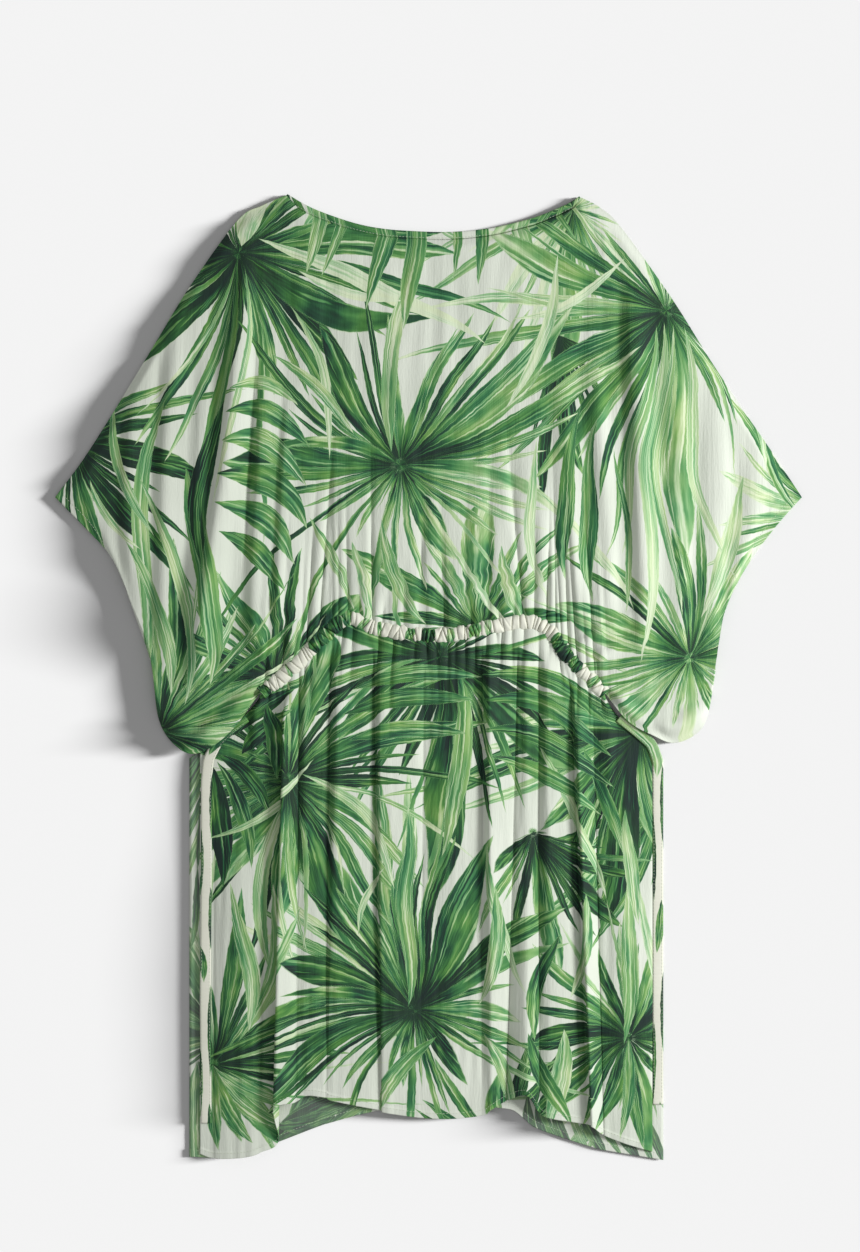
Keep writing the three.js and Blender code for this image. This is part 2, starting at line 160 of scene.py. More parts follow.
def skirtTopY(x):
    endX, endY, reach = sideSizes(x)
    beyond = np.maximum(np.abs(x) - endX, 0)
    fall = (beyond / (reach - endX)) ** skirtReach["cornerPower"]
    slope = endY - layers["overlap"] - skirtReach["cornerDepth"] * fall
    return np.where(beyond > 0, slope, np.interp(x, waistX, waistY) - layers["overlap"])


def liftOverSkirt(x, y):  # where the sleeve bottoms lie on the corners of the skirt
    endX, endY, reach = sideSizes(x)
    outX = np.abs(x) - endX
    upY = y - (endY - layers["overlap"])
    run = reach - endX
    depth = skirtReach["cornerDepth"]
    length = np.hypot(run, depth)
    outside = np.maximum((outX * depth + upY * run) / length, np.abs(x) - reach)
    along = (outX * run - upY * depth) / length
    onCorner = ease(along, sleeveLift["alongStart"], sleeveLift["alongFull"])
    return sleeveLift["height"] * ease(outside, sleeveLift["far"], sleeveLift["near"]) * onCorner


def liftAtWaist(distance):
    return layers["casingLift"] * ease(distance, layers["ramp"], layers["flat"])


def ridge(distance, west, east):  # a rounded bump, as wide as west on one side and east on the other
    reach = np.where(distance < 0, west, east)
    return ease(np.abs(distance) / reach, 1, 0)


def foldHeight(x, y, folds):  # folds run from their first end, bowed towards the middle point
    total = np.zeros_like(x)
    share = np.linspace(0, 1, 25)
    for x0, y0, x1, y1, x2, y2, height, west, east in folds:
        lineX = (1 - share) ** 2 * x0 + 2 * share * (1 - share) * x1 + share ** 2 * x2
        lineY = (1 - share) ** 2 * y0 + 2 * share * (1 - share) * y1 + share ** 2 * y2
        best = np.full(x.shape, 1e9)
        side = np.zeros(x.shape)
        spot = np.zeros(x.shape)
        for k in range(len(share) - 1):
            stepX, stepY = lineX[k + 1] - lineX[k], lineY[k + 1] - lineY[k]
            squared = stepX ** 2 + stepY ** 2
            part = np.clip(((x - lineX[k]) * stepX + (y - lineY[k]) * stepY) / squared, 0, 1)
            awayX, awayY = x - lineX[k] - part * stepX, y - lineY[k] - part * stepY
            away = awayX ** 2 + awayY ** 2
            nearer = away < best
            best = np.where(nearer, away, best)
            side = np.where(nearer, stepX * awayY - stepY * awayX, side)
            spot = np.where(nearer, (k + part) / (len(share) - 1), spot)
        along = ease(spot, 0, 0.3) * ease(spot, 1, 0.75)
        total += height * along * ridge(np.sqrt(best) * np.sign(side), west, east)
    return total


def ripple(x, y, seed, height, widest, narrowest, stretch):  # unplanned unevenness
    chance = random.Random(seed)
    total = np.zeros_like(x)
    waves = 14
    for _ in range(waves):
        wave = chance.uniform(narrowest, widest)
        lean = chance.uniform(-1, 1) / stretch
        phase = chance.uniform(0, 2 * math.pi)
        total += chance.uniform(0.5, 1) * np.sin(2 * math.pi * (x + lean * y) / wave + phase
                                                 + 1.5 * np.sin(y / (wave * stretch * 0.4) + phase))
    return height * total / math.sqrt(waves)


def makeGathers(seed, pitch, spread, rise, depth, shortest, longest):  # creases that leave the waist seam
    chance = random.Random(seed)
    creases = []
    spot = chance.uniform(0, pitch)
    while spot < waistRun[-1]:
        creases.append((spot, chance.uniform(0.35, 1) * depth, chance.uniform(0.14, 0.3) * pitch,
                        shortest + (longest - shortest) * chance.random() ** 1.7,
                        chance.uniform(-0.08, 0.08)))
        spot += pitch * chance.uniform(1 - spread, 1 + spread)
    return {"creases": creases, "rise": rise, "longest": longest}


def gatherHeight(run, away, gathers, start):
    total = gathers["rise"] * ease(away, 0.75 * gathers["longest"], 4) * ease(away, 0, start)
    for spot, depth, width, length, drift in gathers["creases"]:
        centre = spot + drift * away
        broad = width * (1 + 1.6 * away / length)
        off = np.abs(run - centre) / broad
        crease = np.exp(-off * np.sqrt(off / (off + 0.25)))
        total = total - depth * crease * ease(away, length, 0.1 * length) * ease(away, 0, start)
    return total


def normalsOf(points):
    across = np.gradient(points, axis=0)
    up = np.gradient(points, axis=1)
    normal = np.cross(across, up)
    normal = normal * np.where(normal[..., 2:] < 0, -1, 1)  # up, at the cuffs' inner corners too
    return normal / np.maximum(np.linalg.norm(normal, axis=2, keepdims=True), 1e-9)


def makeShell(name, points, thickness, cloth, spread):
    # points is a grid of the under face in millimetres, spread the same spots on the flat cloth
    columns, rows = points.shape[:2]
    over = points + normalsOf(points) * np.broadcast_to(thickness, points.shape[:2])[..., None]
    vertices = np.concatenate([points.reshape(-1, 3), over.reshape(-1, 3)]) * mm
    spots = np.arange(columns * rows).reshape(columns, rows)
    a, b, c, d = spots[:-1, :-1], spots[1:, :-1], spots[1:, 1:], spots[:-1, 1:]
    sheet = columns * rows
    under = np.stack([a, d, c, b], axis=-1).reshape(-1, 4)
    top = np.stack([a, b, c, d], axis=-1).reshape(-1, 4) + sheet
    rim = np.concatenate([spots[:, 0], spots[-1, 1:], spots[-2::-1, -1], spots[0, -2::-1]])
    start, end = rim[:-1], rim[1:]
    wall = np.stack([start, end, end + sheet, start + sheet], axis=-1)
    faces = np.concatenate([under, top, wall])
    mesh = bpy.data.meshes.new(name)
    mesh.vertices.add(len(vertices))
    mesh.vertices.foreach_set("co", vertices.ravel())
    mesh.loops.add(faces.size)
    mesh.loops.foreach_set("vertex_index", faces.ravel().astype(np.int32))
    mesh.polygons.add(len(faces))
    mesh.polygons.foreach_set("loop_start", np.arange(0, faces.size, 4, dtype=np.int32))
    smooth = np.ones(len(faces), bool)
    smooth[len(under) + len(top):] = False
    mesh.polygons.foreach_set("use_smooth", smooth)
    flat = spread.reshape(-1, 2) / 1000
    uv = np.concatenate([flat, flat])[faces.ravel()]
    mesh.uv_layers.new(name="cloth").data.foreach_set("uv", uv.ravel())
    mesh.update(calc_edges=True)
    mesh.validate()
    mesh.materials.append(cloth)
    piece = link(name, mesh)
    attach(piece, "root")
    return piece, over


def flatSpots(points):  # where each spot lies on the flat cloth, so that the print goes into the folds
    takenUp = 0.65  # the share of a fold's height that hides print
    steps = np.hypot(np.diff(points[..., 0], axis=0), takenUp * np.diff(points[..., 2], axis=0))
    along = np.concatenate([np.zeros((1, points.shape[1])), np.cumsum(steps, axis=0)])
    left, right = points[:1, :, 0], points[-1:, :, 0]
    return np.stack([left + along * (right - left) / along[-1:], points[..., 1]], axis=-1)


def edgeSteps(length, rows, hem):  # shares of a line, closer together near both of its ends
    edge = np.array([0, 0.8, 2, 3.6, 5.4, hem - 0.5, hem + 0.3, hem + 2, hem + 5])
    inner = np.linspace(0, 1, rows)[1:-1]
    length = np.asarray(length, float)[:, None]
    low = edge[None, :] / length
    middle = low[:, -1:] + (1 - 2 * low[:, -1:]) * inner[None, :]
    return np.concatenate([low, middle, 1 - low[:, ::-1]], axis=1)


def bodiceLine(at, side):
    lowX, lowY, topX, topY, bow = (readTable(bodice, at, key) for key in bodice["columns"])
    atWaist = (at >= bodice["waistStart"]) & (at <= bodice["waistEnd"])
    if side == "front":
        ends = [bodice["rows"][bodice["waistStart"]], bodice["rows"][bodice["waistEnd"]]]
        middle = (ends[0][2] + ends[1][2]) / 2
        reach = (ends[1][2] - ends[0][2]) / 2
        share = np.clip(np.abs(topX - middle) / reach, 0, 1)
        rim = np.where(topX < middle, ends[0][3], ends[1][3])
        lowest = bodice["frontNeckDepth"]
        scooped = lowest + (rim - lowest) * share ** bodice["frontNeckPower"]
        topY = np.where(atWaist, scooped, topY)
    return (lowX, lowY, topX, topY, bow), np.hypot(topX - lowX, topY - lowY), atWaist


def bodiceSpots(line, shares):
    lowX, lowY, topX, topY, bow = line
    x = lowX[:, None] + (topX - lowX)[:, None] * shares + bow[:, None] * 4 * shares * (1 - shares)
    y = lowY[:, None] + (topY - lowY)[:, None] * shares
    return x, y


# Drape of the back bodice: the two long pleats, the sleeves' soft folds and the pulls at the waist ends.
bodiceFolds = [
    (-168, 428, -182, 200, -230, -44, 13.0, 10, 30),
    (-160, 404, -162, 250, -172, 90, -3.5, 5, 6),
    (-232, 345, -252, 190, -246, -20, 6.0, 12, 26),
    (-262, 290, -294, 190, -268, 60, 5.5, 11, 24),
    (-205, 330, -222, 180, -210, -40, 5.0, 10, 20),
    (-150, 330, -160, 160, -166, -20, 5.5, 10, 20),
    (-128, 290, -136, 170, -142, 20, 4.4, 8, 16),
    (184, 410, 196, 215, 202, -10, 9.5, 12, 24),
    (226, 330, 240, 180, 232, -40, 4.5, 24, 16),
    (262, 285, 280, 180, 256, 10, 3.5, 22, 14),
    (152, 330, 166, 170, 172, 10, 4.5, 18, 12),
    (296, 235, 318, 160, 276, 60, 2.5, 18, 14),
    (122, 300, 134, 160, 138, 40, 3.2, 15, 11),
    (-120, 22, -150, 62, -136, 84, 3.0, 6, 8),
    (-136, 6, -170, 34, -158, 66, 3.2, 6, 9),
    (-148, -6, -186, 4, -196, 30, 3.0, 7, 9),
    (132, 22, 160, 52, 206, 62, 3.0, 7, 6),
    (146, 8, 172, 36, 214, 40, 3.2, 8, 6),
    (156, -4, 190, 14, 226, 14, 2.8, 8, 7),
    (-246, -20, -226, -62, -188, -44, 5.0, 16, 14),
    (198, -42, 236, -56, 256, -24, 4.0, 14, 14),
]
gathersAbove = makeGathers(seed=11, pitch=9.5, spread=0.5, rise=5.0, depth=6.2, shortest=40, longest=250)
gathersBelow = makeGathers(seed=23, pitch=9.5, spread=0.5, rise=4.2, depth=5.2, shortest=25, longest=130)


def hemStep(distance, width, height=0.45):  # the turned edge is one more layer of cloth
    return height * ease(distance, width + 0.4, width - 0.6)


def makeBodice(name, side, cloth, rows, sleeveSteps, waistSteps):
    cuff = 0.62  # the part of the first row that the cuff's hem takes up
    fine = np.linspace(0, cuff, 14)[:-1]
    at = np.unique(np.concatenate([
        fine,
        np.linspace(cuff, bodice["waistStart"], sleeveSteps)[:-1],
        np.linspace(bodice["waistStart"], bodice["waistEnd"], waistSteps)[:-1],
        np.linspace(bodice["waistEnd"], lastLine - cuff, sleeveSteps)[:-1],
        lastLine - fine[::-1],
        [lastLine - cuff],
    ]))
    line, length, atWaist = bodiceLine(at, side)
    shares = edgeSteps(length, rows, bodice["neckBand"])
    fromEnd = np.minimum(at - bodice["waistStart"], bodice["waistEnd"] - at)
    band = np.where(atWaist, (bodice["neckBand"] + 0.3) * np.clip(fromEnd * 2, 0.05, 1), 0)
    shares = shares * (1 - band / length)[:, None]
    x, y = bodiceSpots(line, shares)
    fromLow = shares * length[:, None]
    waistRise = np.where(atWaist[:, None], liftAtWaist(fromLow), 0)
    z = np.maximum(waistRise, liftOverSkirt(x, y))
    toCuff = np.minimum(at, lastLine - at)[:, None] * bodice["cuffRow"]
    if side == "back":
        toEdge = np.minimum(fromLow, (1 - shares) * length[:, None])
        inside = ease(np.minimum(toEdge, toCuff), 0, bodice["puffEdge"])
        offSeam = ease(np.minimum(toEdge, toCuff), 0, bodice["foldEdge"])
        offWaist = np.where(atWaist[:, None], ease(fromLow, 2, 30), 1)
        run = np.interp(at, waistStations, waistRun)[:, None] + np.zeros_like(x)
        gathered = np.where(atWaist[:, None], gatherHeight(run, fromLow, gathersAbove, 5), 0)
        drape = foldHeight(x, y, bodiceFolds) * offSeam * offWaist
        uneven = ripple(x, y, 5, 0.55, 46, 17, 6) * inside
        full = np.where(atWaist[:, None], ease(fromLow, -10, 75), 1) * inside
        z = z + layers["wall"] + layers["gap"] + bodice["puff"] * full + drape + gathered + uneven
    z = z + hemStep(toCuff + np.zeros_like(x), bodice["cuffHem"])
    points = np.stack([x, y, z], axis=-1)
    return makeShell(name, points, bodice["shell"], cloth, flatSpots(points))


class Wire:  # an output socket that can stand in a sum
    def __init__(self, socket):
        self.socket = socket

    def math(self, operation, *others, clamp=False):
        return mathNode(self.socket.id_data, operation, (self, *others), clamp)

    def times(self, factor, more, clamp=False):
        return self.math("MULTIPLY_ADD", factor, more, clamp=clamp)

    def __add__(self, other):
        return self.math("ADD", other)

    def __sub__(self, other):
        return self.math("SUBTRACT", other)

    def __mul__(self, other):
        return self.math("MULTIPLY", other)

    def __truediv__(self, other):
        return self.math("DIVIDE", other)

    def __rsub__(self, other):
        return mathNode(self.socket.id_data, "SUBTRACT", (other, self))


def plug(tree, socket, value):
    if isinstance(value, Wire):
        tree.links.new(value.socket, socket)
    elif value is not None:
        socket.default_value = value


def mathNode(tree, operation, values, clamp=False):
    node = tree.nodes.new("ShaderNodeMath")
    node.operation = operation
    node.use_clamp = clamp
    for socket, value in zip(node.inputs, values):
        plug(tree, socket, value)
    return Wire(node.outputs[0])


class Nodes:  # adds nodes to one tree
    def __init__(self, tree):
        self.tree = tree

    def add(self, kind, settings=None, inputs=None):
        node = self.tree.nodes.new(kind)
        for key, value in (settings or {}).items():
            if key == "stops":
                self.setStops(node.color_ramp, value)
            else:
                setattr(node, key, value)
        for key, value in (inputs or {}).items():
            named = [socket for socket in node.inputs if socket.enabled and socket.name == key]
            plug(self.tree, named[0] if named else node.inputs[key], value)
        return {socket.name: Wire(socket) for socket in node.outputs if socket.enabled}

    def vector(self, x, y, z=None):
        return self.add("ShaderNodeCombineXYZ", None, {"X": x, "Y": y, "Z": z})["Vector"]

    def noise(self, vector, scale=1.0, detail=2.0, roughness=0.5):
        return self.add("ShaderNodeTexNoise", {"noise_dimensions": "2D"}, {
            "Vector": vector, "Scale": scale, "Detail": detail, "Roughness": roughness})

    def soften(self, value, start, end, low, high):  # from low to high as the value goes from start to end
        return self.add("ShaderNodeMapRange", {"interpolation_type": "SMOOTHSTEP"}, {
            "Value": value, "From Min": start, "From Max": end, "To Min": low, "To Max": high})["Result"]

    def shaken(self, spots, cloth, reach, scale, detail):  # the spots moved up to half the reach by noise
        noise = self.noise(cloth, scale, detail)["Color"]
        noise = self.add("ShaderNodeVectorMath", {"operation": "SUBTRACT"}, {
            0: noise, 1: (0.5, 0.5, 0.5)})["Vector"]
        return self.add("ShaderNodeVectorMath", {"operation": "MULTIPLY_ADD"}, {
            0: noise, 1: (reach, reach, 0), 2: spots})["Vector"]

    def setStops(self, ramp, stops):
        while len(ramp.elements) > 1:
            ramp.elements.remove(ramp.elements[0])
        for index, (position, colour) in enumerate(stops):
            element = ramp.elements[0] if index == 0 else ramp.elements.new(position)
            element.position = position
            element.color = (*inkColour(colour), 1)

    def mix(self, kind, factor, first, second):
        return self.add("ShaderNodeMix", {"data_type": kind}, {
            "Factor": factor, "A": first, "B": second})["Result"]


class Finish(Nodes):  # a material
    def __init__(self, name):
        self.material = bpy.data.materials.new(name)
        self.material.use_nodes = True
        super().__init__(self.material.node_tree)
        self.shader = self.tree.nodes["Principled BSDF"]

    def set(self, **sockets):
        for key, value in sockets.items():
            plug(self.tree, self.shader.inputs[key.replace("_", " ")], value)


def inkColour(colour):  # from 0..255 display values to linear light
    shares = [part / 255 for part in colour]
    return tuple(s / 12.92 if s <= 0.04045 else ((s + 0.055) / 1.055) ** 2.4 for s in shares)


# Palm fans of the print, back to front: middle, reach, the way that each points, its blades in a full round,
# how many to each side are full and where they end, how short the last are, hang, tone, right side's tone.
fanColumns = ("x", "y", "reach", "turn", "blades", "full", "gone", "stub", "droop", "tone", "side", "seed")
bodiceFans = [
    (120, 446, 190, -104, 25, 3, 7, 0.3, -0.4, 0.66, 0.1, 5),
    (-330, 215, 175, 318, 20, 4, 7, 0.3, -0.2, 0.14, 0.1, 7),
    (-246, -42, 230, 30, 20, 2, 5, 0.3, -0.3, 0.42, 0.1, 3),
    (-152, 4, 150, 104, 20, 3, 6, 0.3, 0.3, 0.24, 0.15, 9),
    (48, 40, 170, 72, 19, 3, 6, 0.3, 0.2, 0.36, 0.15, 11),
    (366, 150, 170, 190, 20, 3, 6, 0.35, -0.2, 0.5, 0.15, 13),
    (-13, 570, 290, -90, 24, 3, 5, 0.3, -0.1, 0.4, 0.1, 31),
    (108, 318, 170, -64, 26, 2, 4, 0.02, 0.3, 0.1, 0.1, 83),
    (-179, 394, 255, -92, 24, 6, 11, 0.3, -0.25, 0.16, 0.2, 17),
    (216, 343, 240, -102, 28, 8, 13, 0.34, -0.2, 0.38, 0.22, 19),
    (-246, -42, 190, 66, 22, 5, 9, 0.3, 0.35, 0.26, 0.2, 23),
    (244, 26, 180, 100, 22, 6, 10, 0.36, 0.3, 0.44, 0.22, 29),
    (-19, 195, 222, 66, 25, 8, 12, 0.38, -0.3, 0.34, 0.62, 37),
]
skirtFans = [
    (226, -100, 165, 185, 20, 3, 7, 0.35, -0.3, 0.4, 0.1, 59),
    (-19, -301, 240, 118, 20, 2, 5, 0.3, -0.3, 0.66, 0.1, 53),
    (-122, -96, 170, 215, 20, 4, 8, 0.3, -0.3, 0.3, 0.1, 41),
    (198, -44, 250, 226, 23, 3, 7, 0.3, -0.4, 0.6, 0.15, 47),
    (70, -465, 160, 82, 20, 3, 7, 0.4, 0.2, 0.3, 0.1, 49),
    (198, -44, 200, 250, 22, 5, 9, 0.35, -0.5, 0.34, 0.2, 43),
    (96, -138, 150, -70, 26, 3, 6, 0.02, 0.3, 0.26, 0.2, 89),
    (14, 12, 215, -104, 22, 4, 9, 0.35, -0.4, 0.24, 0.25, 61),
    (-122, -96, 180, -30, 22, 6, 10, 0.35, -0.35, 0.34, 0.3, 67),
    (-206, -362, 200, 52, 22, 5, 9, 0.4, 0.4, 0.42, 0.3, 71),
    (180, -343, 150, 110, 22, 6, 10, 0.5, 0.35, 0.36, 0.25, 73),
    (-19, -301, 200, 84, 24, 8, 12, 0.5, 0.35, 0.3, 0.3, 37),
]
# Single blades and stems: both ends, bow to one side, width, tone.
bladeColumns = ("x0", "y0", "x1", "y1", "bow", "width", "tone")
bodiceBlades = [
    (-180, 392, -206, 90, -8, 15, 0.2),
    (-174, 384, -192, 150, 5, 8, 0.56),
    (-246, 250, -262, 10, -10, 17, 0.4),
    (-262, 180, -226, -20, 14, 13, 0.5),
    (-222, 190, -206, 0, 10, 24, 0.26),
    (-160, 408, 40, 305, 12, 16, 0.86),
    (-132, 350, -84, 200, 14, 9, 0.66),
    (-26, 205, -20, 372, 6, 15, 0.5),
    (-104, 150, -64, 60, 8, 12, 0.5),
    (-30, 150, 6, 45, -6, 14, 0.46),
    (70, 120, 92, 30, -5, 13, 0.5),
    (96, 180, 186, 66, 12, 9, 0.74),
    (96, 230, 110, 60, -8, 11, 0.7),
    (60, 330, 176, 400, -12, 9, 0.8),
    (212, 334, 196, 20, 6, 15, 0.62),
    (222, 330, 232, 60, -8, 11, 0.5),
    (232, 326, 286, 90, -8, 11, 0.6),
    (240, 320, 320, 190, 8, 10, 0.64),
    (204, 330, 176, 120, 8, 12, 0.5),
    (180, 230, 178, 60, 5, 8, 0.3),
    (-310, 180, -266, 110, -8, 8, 0.56),
    (-176, 400, -150, 446, 6, 26, 0.78),
    (-120, 380, -20, 350, -8, 10, 0.84),
    (-86, 480, -112, 376, 4, 15, 0.36),
    (-60, 484, -98, 372, 6, 11, 0.28),
    (-28, 484, -54, 340, 3, 15, 0.24),
    (-6, 490, -20, 318, -4, 16, 0.3),
    (16, 484, 13, 368, 3, 10, 0.18),
    (38, 484, 33, 360, 2, 13, 0.16),
    (-292, 250, -250, 120, -8, 11, 0.44),
    (-280, 120, -240, -10, 8, 14, 0.46),
    (-150, 300, -60, 226, 10, 12, 0.46),
    (110, 400, 60, 250, 10, 12, 0.7),
    (160, 250, 150, 70, -8, 18, 0.26),
    (140, 260, 128, 90, -8, 16, 0.18),
    (300, 190, 250, 60, 8, 15, 0.62),
    (-60, 130, -46, 50, 4, 13, 0.6),
    (-190, 258, -116, 252, 14, 15, 0.42),
    (-190, 236, -102, 212, 17, 22, 0.2),
    (-190, 212, -106, 176, 18, 24, 0.3),
    (-190, 186, -104, 138, 19, 25, 0.18),
    (-190, 160, -116, 106, 17, 24, 0.26),
    (-188, 134, -130, 82, 13, 21, 0.16),
    (-194, 250, -207, 96, -5, 21, -0.04),
]
skirtBlades = [
    (-180, -52, -128, -12, 4, 19, 0.06),
    (-172, -70, -124, -34, 4, 19, 0.12),
    (-152, -24, -142, -96, 4, 15, 0.18),
    (-202, -72, -192, -196, 5, 20, 0.06),
    (-196, -66, -150, -128, 8, 15, 0.08),
    (-196, -72, -166, -180, 8, 14, 0.24),
    (-206, -150, -100, -80, -10, 8, 0.78),
    (-160, -270, -134, -110, 10, 14, 0.66),
    (-186, -340, -146, -190, -12, 16, 0.56),
    (-112, -92, -20, -196, 12, 11, 0.76),
    (-24, -300, -14, -130, -6, 14, 0.5),
    (24, 0, 14, -170, 8, 18, 0.46),
    (56, -150, 92, -290, -8, 9, 0.76),
    (100, -60, 166, -200, 10, 11, 0.74),
    (150, -60, 184, -160, 8, 13, 0.36),
    (122, -330, 108, -425, 4, 16, 0.64),
    (176, -350, 184, -180, -6, 15, 0.54),
    (48, -330, 80, -430, 8, 13, 0.66),
    (6, -330, -36, -415, -6, 16, 0.5),
    (192, -180, 204, -330, 6, 9, 0.84),
    (-60, -240, -30, -180, 4, 6, 0.8),
    (-186, -190, -176, -330, 6, 14, 0.6),
    (64, -190, 40, -300, 10, 15, 0.6),
    (120, -230, 96, -340, -8, 16, 0.26),
    (146, -190, 130, -300, 8, 14, 0.62),
    (190, -110, 196, -230, -4, 14, 0.66),
    (90, -330, 130, -420, -6, 15, 0.3),
    (-206, -362, -138, -428, -8, 17, 0.46),
    (-206, -362, -164, -444, -6, 15, 0.34),
    (-206, -362, -190, -452, -3, 14, 0.42),
    (-204, -366, -122, -402, -8, 13, 0.56),
    (180, -343, 150, -424, 6, 16, 0.24),
    (180, -343, 198, -438, -5, 15, 0.3),
    (180, -343, 176, -432, 3, 12, 0.44),
    (-66, -18, 44, -8, 8, 17, 0.28),
    (-76, -42, 36, -30, 8, 18, 0.22),
    (-70, -66, 30, -60, 6, 16, 0.34),
    (40, -6, 172, -40, 14, 17, 0.24),
    (44, -30, 178, -66, 14, 18, 0.3),
    (50, -56, 182, -92, 12, 17, 0.2),
    (56, -80, 170, -118, 10, 15, 0.36),
]
insideBlades = [  # the leaves that the front skirt shows past the back skirt's side and hem
    (219, -60, 217, -176, 1, 9, 0.06),
    (217, -168, 220, -262, -1, 8, 0.16),
    (220, -270, 217, -352, 1, 9, 0.3),
    (218, -340, 220, -452, -1, 10, 0.02),
    (206, -362, 156, -442, -6, 18, 0.3),
    (206, -362, 186, -456, -4, 18, 0.22),
    (206, -362, 214, -460, 4, 16, 0.4),
    (200, -372, 132, -424, -8, 16, 0.5),
    (150, -436, 56, -396, -6, 20, 0.12),
    (140, -420, 84, -410, 4, 14, 0.2),
    (96, -426, 40, -398, -4, 12, 0.3),
    (-90, -392, -106, -446, 4, 12, 0.1),
    (-100, -392, -124, -450, 4, 14, 0.24),
    (-116, -400, -138, -456, 4, 11, 0.06),
    (-132, -404, -150, -456, 2, 8, 0.5),
    (-144, -408, -164, -460, 2, 12, 0.16),
    (-160, -414, -176, -460, 2, 7, 0.3),
    (-172, -414, -192, -466, 3, 12, 0.1),
    (-192, -420, -204, -466, 3, 8, 0.36),
    (-204, -420, -216, -466, 3, 10, 0.14),
]
# The casing's own print: its blades lie across it, at their distance along it.
casingBlades = [
    (4, -16, 0, 16, 0, 15, 0.1),
    (30, -16, 36, 16, 0, 4, 0.5),
    (66, -16, 74, 16, 0, 18, 0.14),
    (78, -16, 86, 16, 0, 16, 0.3),
    (90, -16, 98, 16, 0, 15, 0.06),
    (103, -16, 109, 16, 0, 10, 0.36),
    (120, -16, 126, 16, 0, 6, 0.5),
    (136, 16, 142, -16, 0, 5, 0.44),
    (166, -16, 170, 16, 0, 9, 0.36),
    (183, -16, 187, 16, 0, 14, 0.04),
    (208, 16, 204, -16, 0, 8, 0.6),
    (225, -16, 232, 16, 0, 12, 0.34),
    (240, -16, 243, 16, 0, 7, 0.66),
    (318, -16, 312, 16, 0, 17, 0.14),
    (330, -16, 326, 16, 0, 16, 0.02),
    (344, -16, 338, 16, 0, 14, 0.2),
    (362, -16, 366, 16, 0, 8, 0.44),
    (380, -16, 384, 16, 0, 10, 0.24),
]
tieBlades = [  # along a tie, in the same way
    (-20, 1, 50, -2, 1, 18, 0.2),
    (60, 5, 130, 4.4, 0, 5, 0.02),
    (116, -5, 178, -4, 0, 5, 0.06),
    (170, 4, 232, 5, 1, 6, 0.02),
    (226, -5, 262, -1, 1, 8, 0.24),
    (262, 5, 352, 4.4, 0, 6, 0.0),
    (318, -5, 384, -4.6, 0, 5, 0.16),
    (372, 3, 440, 4, 1, 8, 0.22),
    (480, 0, 572, -1, 1, 20, 0.6),
    (556, 4, 640, 5, 1, 8, 0.1),
    (600, -5, 690, -4, 0, 6, 0.04),
    (684, 3, 736, -2, 1, 9, 0.3),
    (744, 5, 830, 4.5, 0, 7, 0.02),
    (796, -4, 880, -5, 0, 6, 0.1),
    (872, 2, 930, 3, 1, 9, 0.3),
]
# How the print is drawn: lengths on the cloth in metres, edges in millimetres, the rest as shares.
printing = {
    "bend": 0.052, "bendScale": 4.2, "wave": 0.0045, "waveScale": 15,
    "ragged": 0.0012, "raggedScale": 130, "finer": 1.12,
    "ground": [(196, 203, 189), (215, 220, 208)], "cream": [(208, 208, 192), (225, 226, 212)],
    "softEdge": 0.5, "fat": 0.575, "pointed": 1.55, "fusing": 2.6, "rim": 1.2, "looseOver": 5,
    "cool": [
        (0.0, (4, 34, 28)),
        (0.15, (12, 64, 44)),
        (0.32, (38, 106, 62)),
        (0.5, (80, 142, 88)),
        (0.68, (128, 174, 124)),
        (0.85, (169, 199, 158)),
        (1.0, (203, 217, 190)),
    ],
    "warm": [
        (0.0, (14, 54, 22)),
        (0.18, (36, 92, 36)),
        (0.38, (76, 132, 56)),
        (0.58, (118, 160, 84)),
        (0.8, (165, 190, 132)),
        (1.0, (204, 216, 178)),
    ],
}


def placing(x, y, degrees, size):  # the numbers that turn the cloth's millimetres into a motif's own
    cosine, sine = math.cos(math.radians(degrees)) / size, math.sin(math.radians(degrees)) / size
    return {"cosine": cosine, "sine": sine, "minusSine": -sine, "shiftX": -x * cosine - y * sine,
            "shiftY": x * sine - y * cosine}


def turned(part):
    across, up, cosine = part["across"], part["up"], part["cosine"]
    return (across.times(cosine, up.times(part["sine"], part["shiftX"])),
            across.times(part["minusSine"], up.times(cosine, part["shiftY"])))


palm = {
    "unevenness": 0.4, "unevenPace": 1.7, "seedStep": 17.31, "shortest": 0.5, "sideways": 0.55,
    "narrowest": 0.75, "fusedBy": 0.6, "heart": 70, "heartEdge": 2.2, "rimDark": -0.14, "creaseDark": -0.5,
    "toneSpread": 0.5, "seedShift": 40, "creaseGain": 5, "creaseStart": -1.9, "toneShift": -0.2,
}
palmBlade = {"rimDark": -0.16, "pace": 0.7, "start": 0.2, "toneShift": 0.16, "spread": 0.8, "firstSeed": 90}


